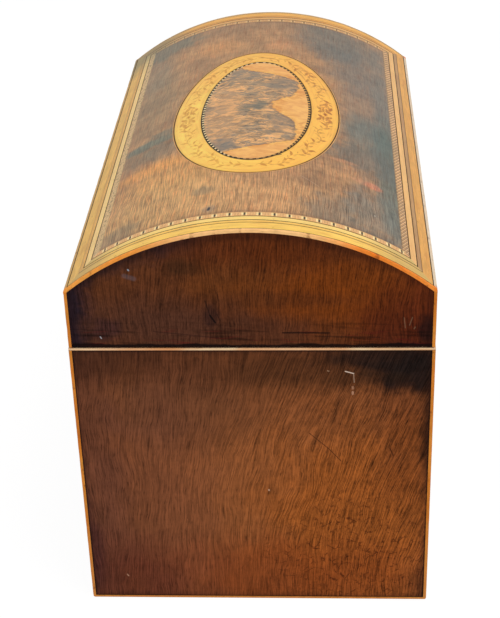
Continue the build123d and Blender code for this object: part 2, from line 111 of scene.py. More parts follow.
def piece(name, patches, body, slot, material, stands_for=(), sharp=32.0):
    """Joins grids of points into one closed mesh.

    Each patch is a grid of points in millimetres, with the distance along and across the grain at each
    point and perhaps a mark. Every square of four neighbouring points is a face, edges that fall together
    are merged, and the faces are turned outwards.
    """
    points, faces, grain, marks, start = [], [], [], [], 0
    for grid, along, across, *mark in patches:
        rows, columns = grid.shape[:2]
        i, j = np.meshgrid(np.arange(rows - 1), np.arange(columns - 1), indexing="ij")
        corners = [(i, j), (i + 1, j), (i + 1, j + 1), (i, j + 1)]
        faces.append(start + np.stack([a * columns + b for a, b in corners], -1).reshape(-1, 4))
        shape = (rows, columns)
        uv = np.stack([np.broadcast_to(along, shape), np.broadcast_to(across, shape)], -1) * MM
        grain.append(np.stack([uv[a, b] for a, b in corners], -2).reshape(-1, 2))
        marks.append(mark[0].ravel() if mark else np.zeros(rows * columns))
        points.append(grid.reshape(-1, 3) * MM)
        start += rows * columns
    points, faces, grain = np.concatenate(points), np.concatenate(faces), np.concatenate(grain)
    mesh = bpy.data.meshes.new(name)
    mesh.from_pydata(points, [], faces)
    mesh.uv_layers.new(name="grain").data.foreach_set("uv", grain.ravel())
    mesh.attributes.new("mark", "FLOAT", "POINT").data.foreach_set("value", np.concatenate(marks))
    work = bmesh.new()
    work.from_mesh(mesh)
    bmesh.ops.remove_doubles(work, verts=work.verts, dist=0.001 * MM)
    bmesh.ops.recalc_face_normals(work, faces=work.faces)
    work.to_mesh(mesh)
    work.free()
    mesh.shade_smooth()
    mesh.set_sharp_from_angle(angle=math.radians(sharp))
    mesh.materials.append(material)
    thing = placed(name, mesh)
    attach(thing, body)
    if stands_for:
        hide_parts(*stands_for)


def slab(top, bottom, along, across):
    """The patches of a block between two grids of one size: its face, its back and the four walls."""
    patches = [(top, along, across), (bottom, along, across)]
    for cut in (np.s_[0, :], np.s_[-1, :], np.s_[:, 0], np.s_[:, -1]):
        patches.append((np.stack([top[cut], bottom[cut]]), along[cut], across[cut]))
    return patches


def capped(grid, along, across):
    """The patches of a bar: a closed section carried along a path, with a cap at either end. The cap
    joins each point of the section's first half to the point as far from the end of its second half."""
    patches = [(grid, along, across)]
    half = (grid.shape[1] - 1) // 2
    for end in (grid[0], grid[-1]):
        cap = np.stack([end[: half + 1], end[half:][::-1][: half + 1]])
        patches.append((cap, 0.0, 0.0))
    return patches


def turned(profile, centre, steps=64):
    """The patch of a shape turned about a vertical axis: (r cos a, r sin a, z) about the centre."""
    angle = np.linspace(0, 2 * np.pi, steps + 1)[:, None]
    radius, height = profile.T
    grid = np.stack([radius * np.cos(angle), radius * np.sin(angle), height + 0 * angle], -1)
    return (grid + centre, height[None, :], angle * radius.max())


def wander(distance, wave, seed):
    """A smooth uneven line between about -1 and 1: four sines of unlike lengths with drawn phases."""
    phases = np.random.default_rng(seed).uniform(0, 2 * np.pi, 4)
    lengths = wave * np.array([1.0, 0.53, 0.31, 0.17])
    return sum(np.sin(2 * np.pi * distance / length + phase) for length, phase in zip(lengths, phases)) / 2.4


# ---- Dome


def on_dome(x, arc, depth):
    """Points of the dome: x along the caddy, arc round the barrel from its crown, and depth below the
    polish. With r = R - depth, y is r sin(arc / R) and z is the centre plus r cos(arc / R)."""
    x, arc, depth = np.broadcast_arrays(x, arc, depth)
    radius, turn = dome_radius - depth, arc / dome_radius
    return np.stack([x, radius * np.sin(turn), dome_centre + radius * np.cos(turn)], -1)


def sunk(x, arc):
    """How far the old surface has sunk below the true barrel, in millimetres: products of slow sines."""
    slow = 0.02 * np.sin(x / 31 + arc / 47) * np.sin(arc / 19 - x / 83)
    return 0.035 + slow + 0.012 * np.sin(x / 11.3 + 1.7) * np.sin(arc / 7.9 + x / 57)


def strip_section(start, end, step):
    """A closed section across one strip: insets and depths up its outer wall, over its softened edge,
    along the polished face at steady steps, and down the other wall."""
    shoulder, arris, dip = 0.14, 0.05, 0.015
    face = np.linspace(start + shoulder, end - shoulder, max(2, int(round((end - start) / step)) + 1))
    insets = np.concatenate([[start, start, start + arris], face, [end - arris, end, end, start]])
    depths = np.concatenate([[veneer, arris, dip], 0 * face, [dip, arris, veneer, veneer]])
    return insets, depths


def shown(depths):
    """1 on the polished face of a section and 0 on its walls and underside."""
    return (depths < 0.5).astype(float)


def border_strip(name, start, end, slot, material, stands_for=(), sides=(0, 1, 2, 3), step=0.8):
    """One banding of the border: its section is carried round a mitred rectangle on the dome. On each
    side the path runs from mitre to mitre, and both mitres move in with the inset. The grain's distance
    along has a thousand added for each side, so that the pieces differ."""
    insets, depths = strip_section(start, end, step)
    patches = []
    for side in sides:
        lengthwise = side % 2 == 0
        reach, stand = (string_x, border_arc) if lengthwise else (border_arc, string_x)
        run = np.linspace(-1, 1, 285 if lengthwise else 161)[:, None] * (reach - insets)
        place = (stand - insets) * (1 if side < 2 else -1) + 0 * run
        x, arc = (run, place) if lengthwise else (place, run)
        grid = on_dome(x, arc, depths + sunk(x, arc) * shown(depths))
        added = capped(grid, run + 1000 * side, insets - start + 0 * run)
        patches += added if len(sides) < 4 else added[:1]
    piece(name, patches, "lid", slot, material, stands_for)


def ellipse(angle, inset):
    """Plan of the oval, its long way along X: about its middle, x = (a - inset) cos t and
    arc = (b - inset) sin t."""
    x = oval_shift_x + (oval_length / 2 - inset) * np.cos(angle)
    return x, oval_shift_arc + (oval_width / 2 - inset) * np.sin(angle)


def oval_strip(name, start, end, slot, material, stands_for, around=720, step=0.5, marked=None):
    """One ring of the oval: its section is carried round the ellipse. The grain's distance along is the
    length of the ring's middle line."""
    insets, depths = strip_section(start, end, step)
    angle = np.linspace(0, 2 * np.pi, around + 1)[:, None]
    x, arc = ellipse(angle, insets)
    middle = np.stack(ellipse(angle[:, 0], (start + end) / 2))
    along = np.append(0, np.cumsum(np.hypot(*np.diff(middle, axis=1))))[:, None] + 0 * x
    across = insets - start + 0 * x
    patch = [on_dome(x, arc, depths + sunk(x, arc) * shown(depths)), along, across]
    if marked:
        patch.append(marked(along, across, along.max()) * shown(depths))
    piece(name, [patch], "lid", slot, material, stands_for)


def leaf(along, across, centre, tilt, length, width):
    """A pointed leaf: 1 inside the shape where |b| is less than its width times 1 - (a / length)^2, with
    a and b measured along and across the tilted leaf, and faded over a little at its edge."""
    a = (along - centre[0]) * math.cos(tilt) + (across - centre[1]) * math.sin(tilt)
    b = (across - centre[1]) * math.cos(tilt) - (along - centre[0]) * math.sin(tilt)
    room = width * (1 - (a / length) ** 2) - np.abs(b)
    return np.clip(room / 0.4 + 0.25, 0, 1) * (np.abs(a) < length)


def garland(along, across, total):
    """The trailing garland of the oval: an undulating stem with leaves and tendrils on both sides, mirrored
    about both axes, a bud at each end of the oval, and a bow of four leaves round a dark knot at the
    middle of each side."""
    quarter = total / 4
    folded = np.abs((along + quarter) % (2 * quarter) - quarter)
    middle = 6.9

    def wave(place):
        return 1.9 * np.sin(2 * np.pi * place / 19)

    away = np.clip((quarter - folded) / 9, 0, 1) * np.clip(folded / 4, 0, 1)
    ink = 0.9 * np.exp(-(((across - middle - wave(folded) * away) / 0.26) ** 2)) * (folded > 2.5)
    draw = np.random.default_rng(77)
    for number, place in enumerate(np.arange(5.0, quarter - 9, 3.9)):
        side = 1 if number % 2 else -1
        at = middle + wave(place)
        size = draw.uniform(0.9, 1.45)
        tilt = side * draw.uniform(0.5, 1.0)
        for reach, turn, length, width, strength in (
            (1.5, tilt, 1.9, 0.75, 0.9),
            (2.9, tilt + side * 0.5, 1.2, 0.5, 0.7),
            (-1.7, -tilt, 1.3, 0.5, 0.65),
        ):
            centre = (place + abs(reach) * 0.7, at + math.copysign(reach, reach * side) * 0.9)
            ink = np.maximum(ink, strength * leaf(folded, across, centre, turn, length * size, width * size))
    for side in (-1, 1):
        for short, lift, tilt, length, width in (
            (3.4, 1.9, 0.75, 2.8, 1.25), (7.4, 2.9, -0.35, 3.0, 1.1),
            (6.2, 0.9, 0.15, 2.2, 0.75), (11.5, 1.5, 0.6, 2.0, 0.8),
        ):
            centre = (quarter - short, middle + side * lift)
            ink = np.maximum(ink, 0.95 * leaf(folded, across, centre, side * tilt, length, width))
    ink = np.maximum(ink, 1.5 * np.exp(-(((folded - quarter) / 1.7) ** 2) - ((across - middle) / 1.0) ** 2))
    return np.maximum(ink, 1.4 * np.exp(-((folded / 1.4) ** 2) - ((across - middle) / 0.8) ** 2))


def dome_field(material):
    """The field: each path runs from a point of the inner edge of the border to the point of the oval's
    edge that lies at the same angle, and the walls go down at both."""
    step = np.linspace(0, 1, 61)
    way = np.concatenate([[0, 0], step, [1, 1, 0]])
    depths = np.concatenate([[veneer, 0.05], 0 * step, [0.05, veneer, veneer]])
    edge_x, edge_arc = string_x - field_start, border_arc - field_start
    run = [np.linspace(-1, 1, count, endpoint=False) for count in (180, 110)]
    one = [0 * part + 1 for part in run]
    x = edge_x * np.concatenate([run[0], one[1], -run[0], -one[1], [-1]])
    arc = edge_arc * np.concatenate([-one[0], run[1], one[0], -run[1], [-1]])
    angle = np.arctan2((arc - oval_shift_arc) / oval_width, (x - oval_shift_x) / oval_length)
    oval_x, oval_arc = ellipse(angle, 0)
    x = x[:, None] * (1 - way) + oval_x[:, None] * way
    arc = arc[:, None] * (1 - way) + oval_arc[:, None] * way
    grid = on_dome(x, arc, depths + sunk(x, arc) * shown(depths))
    piece("dome_veneer", [(grid, x, arc)], "lid", "field_veneer", material, ("dome_field",))


def medallion(material):
    """The burr oval in the middle: a square grid is pressed into an ellipse, with x = a u sqrt(1 - v^2 / 2)
    and arc = b v sqrt(1 - u^2 / 2) about the oval's middle, and its walls go down."""
    u, v = np.meshgrid(np.linspace(-1, 1, 121), np.linspace(-1, 1, 81), indexing="ij")
    x = oval_shift_x + (oval_length / 2 - medallion_start) * u * np.sqrt(1 - v**2 / 2)
    arc = oval_shift_arc + (oval_width / 2 - medallion_start) * v * np.sqrt(1 - u**2 / 2)
    patches = slab(on_dome(x, arc, sunk(x, arc)), on_dome(x, arc, veneer), x, arc)
    piece("medallion", patches, "lid", "burr", material, ("burr_medallion",))


# ---- Stringing and veneers


def mitred(arc, depth):
    """Stretches an arc so that its ends stay upright over one another at every depth below the polish."""
    return arc * dome_radius * np.arcsin(lid_string_y / (dome_radius - depth)) / border_arc


def string_section(worn):
    """A square string's section: distances in from its two outer faces, round its worn outer arris and
    back. Each row has its own radius, and the arc is (r - r sin t, r - r cos t)."""
    turn = np.linspace(0, np.pi / 2, 6)
    worn = worn[:, None]
    side = stringing + 0 * worn
    a = np.hstack([0 * worn, worn - worn * np.sin(turn[::-1]), side, side, 0 * worn])
    b = np.hstack([side, worn - worn * np.cos(turn[::-1]), 0 * worn, side, side])
    return a, b


def wear(run, seed, base=0.32, swing=0.12, nicks=5):
    """Radius of a worn arris along its run: a wandering line, with a few short deeper knocks."""
    draw = np.random.default_rng(seed)
    worn = base + swing * wander(run, 60.0, seed)
    for _ in range(nicks):
        worn = worn + draw.uniform(0.1, 0.3) * np.exp(
            -(((run - draw.uniform(run.min(), run.max())) / draw.uniform(0.8, 2.5)) ** 2)
        )
    return worn


def string_bars(name, bars, body, material, node):
    """Several bars of stringing as one piece: each is a run, a wear seed and a rule that turns the run and
    the two distances in from the outer faces into points."""
    patches = []
    for run, seed, place in bars:
        a, b = string_section(wear(run, seed))
        run = run[:, None] + 0 * a
        patches += capped(place(run, a, b), run + 500 * seed, a + b)
    piece(name, patches, body, "boxwood", material, (node,), sharp=40)


def stack(*parts):
    """Points from their x, y and z arrays."""
    return np.stack(np.broadcast_arrays(*parts), -1)


def edge_strings(material, eaves_material):
    """All the stringing along the edges, seen as squares let into the corners of case and lid. Each rule
    turns a place along the string and the distances in, a and b, into a point."""

    def post(sx, sy, outer_y):
        return lambda t, a, b: stack(sx * (half_length - a), sy * (outer_y - b), t)

    def arch(sx):
        return lambda t, a, b: on_dome(sx * (half_length - a), mitred(t, b), b)

    def eaves(sy):
        """The eaves string stands between the upright side and the slope of the dome: its outer face is
        upright, and its upper face falls with the dome."""

        def place(t, a, b):
            y = lid_half_depth - b
            top = dome_centre + np.sqrt(dome_radius**2 - y**2)
            low = lid_string_bottom
            return stack(t, sy * y, np.maximum(top - a * (top - low) / stringing, low))

        return place

    for name, body, node, outer_y, run, seed in (
        ("case_corner", "carcass", "corner_stringing", half_depth, (foot_top, rim_bottom, 120), 1),
        ("lid_corner", "lid", "lid_corner_stringing", lid_half_depth, (lid_bottom, lid_string_bottom, 30), 5),
    ):
        corners = enumerate((sx, sy) for sx in (-1, 1) for sy in (-1, 1))
        bars = [(np.linspace(*run), seed + n, post(sx, sy, outer_y)) for n, (sx, sy) in corners]
        string_bars(f"{name}_strings", bars, body, material, node)
    run = np.linspace(-border_arc, border_arc, 160)
    string_bars("arch_strings", [(run, 11, arch(-1)), (run, 12, arch(1))], "lid", material, "arch_stringing")
    run = np.linspace(-half_length, half_length, 260)
    bars = [(run, 15, eaves(-1)), (run, 16, eaves(1))]
    string_bars("eaves_strings", bars, "lid", eaves_material, "eaves_stringing")


def base_string(material):
    """The string round the foot: a square section with a worn lower arris is carried round a rectangle
    whose corners are rounded. At an inset i a corner's arc has the radius c - i, and none where i > c."""
    corner, arris = 0.9, 0.5
    turn = np.linspace(0, np.pi / 2, 5)
    inset = np.concatenate([[0, 0], arris - arris * np.cos(turn[1:]), [stringing, stringing, 0]])
    height = np.concatenate([[stringing, arris], arris - arris * np.sin(turn[1:]), [0, stringing, stringing]])
    path = []
    for number, (sx, sy) in enumerate(((1, 1), (-1, 1), (-1, -1), (1, -1))):
        angle = np.linspace(0, np.pi / 2, 7)[:, None] + number * np.pi / 2
        left = np.maximum(corner - inset, 0)
        far = np.maximum(inset, corner)
        path.append(
            stack(
                sx * (half_length - far) + left * np.cos(angle),
                sy * (half_depth - far) + left * np.sin(angle),
                baize + height,
            )
        )
    path = np.concatenate(path + [path[0][:1]])
    run = np.append(0, np.cumsum(np.linalg.norm(np.diff(path[:, 0], axis=0), axis=1)))
    grid = (path, run[:, None], inset[None, :])
    piece("foot_string", [grid], "carcass", "boxwood", material, ("base_stringing",), sharp=40)


def lid_end_veneers(material):
    """The two arched panels: y runs across, and z from the joint up to the arch's inner edge, where it is
    the dome's centre plus sqrt((R - s)^2 - y^2)."""
    y, rise = np.meshgrid(np.linspace(-lid_string_y, lid_string_y, 121), np.linspace(0, 1, 41), indexing="ij")
    top = dome_centre + np.sqrt((dome_radius - stringing) ** 2 - y**2)
    z = lid_bottom + (top - lid_bottom) * rise
    for side, hand in ((-1, "left"), (1, "right")):
        face = half_length - 0.02 - 0.02 * np.sin(y / 23) * np.sin(z / 17)
        patches = slab(stack(side * face, y, z), stack(side * (half_length - veneer), y, z), z, y)
        piece(f"lid_end_panel_{hand}", patches, "lid", "end_veneer", material, (f"lid_end_veneer_{hand}",))


def lid_lining(material):
    """The paper inside the dome, a thin curved sheet: the outer face lies against the bent board."""
    inner_radius = dome_radius - veneer - dome_board
    half = dome_radius * math.asin(lid_inner_y / inner_radius)
    x, arc = np.meshgrid(np.linspace(-wall_x, wall_x, 141), np.linspace(-half, half, 81), indexing="ij")
    glue, sheet, swell = 0.1, 0.35, 0.12
    depth = veneer + dome_board + glue
    bubble = swell * np.abs(np.sin(x / 37 + arc / 23) * np.sin(arc / 29 - x / 61)) ** 3
    patches = slab(on_dome(x, arc, depth), on_dome(x, arc, depth + sheet + bubble), x, arc)
    piece("dome_paper", patches, "lid", "lid_paper", material, ("lid_paper",))


# ---- Small fittings


def knobs(material):
    """Turned bone knobs: foot, waist and button as one profile. The waist eases between radii with
    3t^2 - 2t^3, and the crown is an arc of a circle."""
    ease = np.linspace(0, 1, 14)
    swell = 3 * ease**2 - 2 * ease**3
    height, ball = 12.0, 4.9
    crown = np.linspace(math.asin(4.7 / ball), 0, 14)
    profile = np.concatenate(
        [
            [[0, -3.2], [1.6, -3.2], [1.6, 0], [3.6, 0], [3.8, 0.25], [3.8, 0.65], [3.65, 0.85], [3.35, 0.9]],
            np.stack([3.2 - 1.2 * swell, 1.0 + 3.0 * ease], 1),
            np.stack([2.0 + 2.75 * swell, 4.05 + 3.2 * ease], 1),
            [[4.8, 7.6], [4.8, 8.2]],
            np.stack([ball * np.sin(crown), height - ball + ball * np.cos(crown)], 1),
        ]
    )
    for side, hand in ((-1, "left"), (1, "right")):
        patches = [turned(profile, (side * knob_x, 0, panel_top))]
        piece(f"bone_knob_{hand}", patches, f"inner_lid_{hand}", "bone", material, (f"knob_{hand}",), 50)


def screws(material):
    """Countersunk hinge screws: a square grid pressed into a disc, slightly crowned, with a sawn slot."""
    u, v = np.meshgrid(np.linspace(-1, 1, 25), np.linspace(-1, 1, 25), indexing="ij")
    radius, row_y, depth = 1.7, 75.5, 0.6
    slot_half, slot_slope, slot_depth = 0.26, 0.06, 0.4
    x, y = radius * u * np.sqrt(1 - v**2 / 2), radius * v * np.sqrt(1 - u**2 / 2)
    for body, level, up in (("carcass", joint_height, 1), ("lid", lid_bottom, -1)):
        patches = []
        for side in (-1, 1):
            for step in (-11.0, 0.0, 11.0):
                turn = rng.uniform(0, np.pi)
                slot_side = np.abs(x * math.cos(turn) + y * math.sin(turn))
                sawn = slot_depth * np.clip((slot_half - slot_side) / slot_slope, 0, 1)
                crown = 0.07 - 0.03 * (x**2 + y**2) / radius**2 - sawn
                place = (side * hinge_offset + step + x, row_y + y)
                top = stack(*place, level + up * crown)
                under = stack(*place, level - up * depth)
                patches += slab(top, under, x, y)
        piece(f"hinge_screws_{body}", patches, body, "brass", material, sharp=35)


# ---- Materials


def tint(red, green, blue):
    """A colour named by its screen values from 0 to 255, as linear light."""
    shares = (value / 255 for value in (red, green, blue))
    return (*(c / 12.92 if c <= 0.04045 else ((c + 0.055) / 1.055) ** 2.4 for c in shares), 1)


def join(tree, place, value):
    """Links a wire into a socket, or sets the socket to a number or to a colour's three screen values."""
    if isinstance(value, Wire):
        tree.links.new(value.socket, place)
    else:
        place.default_value = tint(*value) if isinstance(value, tuple) and len(value) == 3 else value


def add(tree, kind, *values, **named):
    """Adds a node. The values go into its first inputs. A name with a capital is an input's, with _ for
    a space, and any other name is a setting's."""
    node = tree.nodes.new(kind)
    for name, value in named.items():
        if name[0].isupper():
            join(tree, node.inputs[name.replace("_", " ")], value)
        else:
            setattr(node, name, value)
    for place, value in zip(node.inputs, values):
        join(tree, place, value)
    return node


class Wire:
    """One value in a node tree. Sums, products and the calls below add nodes."""

    def __init__(self, tree, socket):
        self.tree, self.socket = tree, socket

    def step(self, operation, *values):
        node = add(self.tree, "ShaderNodeMath", self, *values, operation=operation)
        return Wire(self.tree, node.outputs[0])

    def __add__(self, other):
        return self.step("ADD", other)

    def __sub__(self, other):
        return self.step("SUBTRACT", other)

    def __rsub__(self, other):
        return self.step("MULTIPLY_ADD", -1, other)

    def __mul__(self, other):
        return self.step("MULTIPLY", other)

    def __truediv__(self, other):
        return self.step("DIVIDE", other)

    def size(self):
        return self.step("ABSOLUTE")

    def least(self, other):
        return self.step("MINIMUM", other)

    def rise(self, low=0.3, high=0.7, bottom=0, top=1):
        """Eases from bottom to top as the value goes from low to high. The usual ends are those of noise."""
        values = (self, low, high, bottom, top)
        node = add(self.tree, "ShaderNodeMapRange", *values, interpolation_type="SMOOTHSTEP")
        return Wire(self.tree, node.outputs[0])


def span(a, b):
    """The distance of a point from 0, 0."""
    return (a * a + b * b).step("SQRT")


class Finish:
    """One material in the making, with its colour so far. Distances are in millimetres."""

    def __init__(self, name, kind="materials"):
        self.owner = getattr(bpy.data, kind).new(name)
        self.owner.use_nodes = True
        self.tree = self.owner.node_tree
        self.tree.nodes.clear()

    def wire(self, kind, *values, output=0, **named):
        """Adds a node and gives one of its outputs."""
        return Wire(self.tree, add(self.tree, kind, *values, **named).outputs[output])

    def parts(self, vector, axes):
        """The parts of a vector in metres, as millimetres."""
        split = add(self.tree, "ShaderNodeSeparateXYZ", vector)
        return [Wire(self.tree, split.outputs[axis]) / MM for axis in axes]

    def grain(self):
        """Distances along and across the grain, from the piece's own map."""
        return self.parts(self.wire("ShaderNodeUVMap", uv_map="grain"), "XY")

    def place(self):
        """Where the point is on the caddy at rest: x, y and z."""
        return self.parts(self.wire("ShaderNodeTexCoord", output="Object"), "XYZ")

    def mark(self):
        """The mark that the mesh carries at the point."""
        return self.wire("ShaderNodeAttribute", output="Fac", attribute_name="mark")

    def vector(self, x, y, z):
        return self.wire("ShaderNodeCombineXYZ", x, y, z)

    def noise(self, x, y, z=0, detail=3, rough=0.55, twist=0):
        """Cloudy noise between 0 and 1 with lumps about one unit across."""
        named = {"Vector": self.vector(x, y, z), "Scale": 1, "Detail": detail, "Roughness": rough}
        return self.wire("ShaderNodeTexNoise", **named, Distortion=twist)

    def lumps(self, size, *more):
        """Noise in space, the same along all three axes."""
        return self.noise(*(part * size for part in self.place()), *more)

    def cells(self, x, y, z=0, feature="F1"):
        """Distance to the nearest of points scattered about one unit apart."""
        named = {"Vector": self.vector(x, y, z), "Scale": 1}
        return self.wire("ShaderNodeTexVoronoi", output="Distance", feature=feature, **named)

    def blend(self, share, first, second, how="MIX"):
        """Mixes two colours by a share from 0 to 1."""
        node = add(self.tree, "ShaderNodeMix", share, data_type="RGBA", blend_type=how)
        join(self.tree, node.inputs[6], first)
        join(self.tree, node.inputs[7], second)
        return Wire(self.tree, node.outputs[2])

    def bands(self, place, stops):
        """A colour for each stretch between 0 and 1, given by where it starts and its screen values."""
        node = add(self.tree, "ShaderNodeValToRGB", place)
        ramp = node.color_ramp
        ramp.interpolation = "CONSTANT"
        while len(ramp.elements) < len(stops):
            ramp.elements.new(0.5)
        for element, (position, tone) in zip(ramp.elements, stops):
            element.position, element.color = position, tint(*tone)
        return Wire(self.tree, node.outputs[0])

    def dim(self, level):
        """Makes the colour so far darker or brighter by a factor."""
        self.colour = self.wire("ShaderNodeVectorMath", self.colour, operation="SCALE", Scale=level)

    def lay(self, share, *tone):
        """Mixes a tone into the colour so far, by a share from 0 to 1."""
        self.colour = self.blend(share, self.colour, tone)

    def steep(self, share, *tone):
        """Multiplies the colour so far by a tone, by a share from 0 to 1."""
        self.colour = self.blend(share, self.colour, self.blend(1, self.colour, tone, "MULTIPLY"))

    def patch(self, u, v, centre, reach, ragged, size, soft):
        """A soft-edged patch: 1 near its centre and 0 past its reach, with an edge made ragged by noise."""
        away = span((u - centre[0]) / reach[0], (v - centre[1]) / reach[1])
        stir = self.noise(u * size, v * size, centre[0] * 0.37 + centre[1] * 0.11, 4)
        return (away + (stir - 0.5) * (2 * ragged)).rise(1 + soft / 2, 1 - soft / 2)

    def patches(self, u, v, rows, ragged=0.5, size=0.06, soft=0.8):
        """Lays patches over the colour. A row gives the centre along and across, the reach both ways, the
        share and the tone's three values."""
        for centre_u, centre_v, reach_u, reach_v, share, *tone in rows:
            patch = self.patch(u, v, (centre_u, centre_v), (reach_u, reach_v), ragged, size, soft)
            self.lay(patch * share, *tone)

    def stroke(self, u, v, start_u, start_v, stop_u, stop_v, width):
        """1 on a straight stroke and 0 past its width: the distance to its nearest point, whose share
        along is (p - a) . (b - a) / |b - a|^2 between 0 and 1."""
        du, dv = stop_u - start_u, stop_v - start_v
        pu, pv = u - start_u, v - start_v
        share = ((pu * du + pv * dv) / (du * du + dv * dv)).step("MAXIMUM", 0).least(1)
        return span(pu - share * du, pv - share * dv).rise(width, width * 0.3)

    def strokes(self, u, v, rows, shown=None):
        """Lays strokes over the colour. A row gives both ends along and across, the width, the share and
        the tone's three values."""
        for *line, share, red, green, blue in rows:
            stroke = self.stroke(u, v, *line)
            self.lay((stroke * shown if shown else stroke) * share, red, green, blue)

    def done(self, rough=0.4, height=None, **named):
        """Ends in one glossy shader. The height is in millimetres and pushes the surface's normal."""
        if height is not None:
            named["Normal"] = self.wire("ShaderNodeBump", Strength=1, Distance=MM, Height=height)
        named |= {"Base_Color": self.colour, "Roughness": rough}
        add(self.tree, "ShaderNodeOutputMaterial", self.wire("ShaderNodeBsdfPrincipled", **named))
        return self.owner


polish = {"Specular_IOR_Level": 0.1, "Coat_Weight": 0.05, "Coat_Roughness": 0.3}
dull = {"Specular_IOR_Level": 0.03}


def pores(f, u, v, w, length, width, low=0.56, high=0.68):
    """Short dark pores that run with the grain: noise drawn out along it, and only its peaks."""
    return f.noise(u / length, v / width, w, 2, 0.6).rise(low, high)


def veneer_grain(f, u, s, w, force=1):
    """Grain of a sawn veneer, u along it and s across: wide, fine and hair-fine streaks, cross ripples,
    dark pores and pale flecks. Gives the brightness and the pores."""
    wide = f.noise(u * 0.03, s * 0.3, w, 4, 0.6).rise()
    fine = f.noise(u * 0.05, s * 0.8, w + 3, 4, 0.8).rise(0.38, 0.62)
    hair = f.noise(u * 0.07, s * 2, w + 11, 2, 0.6).rise(0.38, 0.62)
    ripple = f.noise(u * 0.22, s * 0.09, w + 7, 4, 0.65).rise(0.32, 0.68)
    pore = pores(f, u, s, w, 5.5, 0.6)
    fleck = pores(f, u + 50, s, w + 5, 5, 0.6, 0.58, 0.72)
    level = wide * (0.22 * force) + fine * (0.28 * force) + hair * (0.5 * force) + ripple * (0.18 * force)
    return level + fleck * (0.16 * force) - pore * (0.2 * force) + (1 - 0.59 * force), pore


def far_corner_shade(f, share):
    """Painted shade: a greenish darkening that thins out from the top's far corner on the hinges' side."""
    x, y, _ = f.place()
    stir = f.noise(x * 0.08, y * 0.08, 52, 4) * 20
    f.lay((span(x - half_length, y - half_depth) + stir).rise(52, 24) * share, 116, 118, 88)


def end_grain_fan(f, u, y, lean):
    """Distance across the grain of the end's veneer. Its lines stand upright at the left and lean more
    and more to the right: with t = z / 140, each has moved by the lean times (y0 - y) / 160 times
    140 (0.08 t + 0.4 t^2 - 0.15 t^3), and they waver."""
    t = u / 140
    moved = ((t * -21 + 56) * t + 11.2) * t
    s = (half_depth - y) * (1 - moved * (lean / 160))
    slow = f.noise(u * 0.013, s * 0.022, 4, 2) - 0.5
    quick = f.noise(u * 0.08, s * 0.1, 9, 2) - 0.5
    return s + slow * 16 + quick * 1.6


def end_sheet(name, lean):
    """Begins the material of an end. Gives with it x, the height u, the distance v from the middle to the
    lock's side, and the distance s across the grain."""
    f = Finish(name)
    x, y, u = f.place()
    return f, x, u, 0 - y, end_grain_fan(f, u, y, lean)


def end_level(f, u, v, s, strength, mottled):
    """The brightness of an end's figure, with a fine mottle, and its pores."""
    level, pore = veneer_grain(f, u, s, 0)
    mottle = f.noise(u * 0.5, v * 0.9, 60, rough=0.7) - 0.5
    return (level - 1) * strength + mottle * mottled + 1, pore


def end_done(f, x, u, v, level, pore, marks):
    """Lays the marks of the near end and ends the material."""
    f.strokes(u, v, marks, x.rise(1, -1))
    return f.done(rough=0.42, height=level * 0.03 - pore * 0.02, **dull)


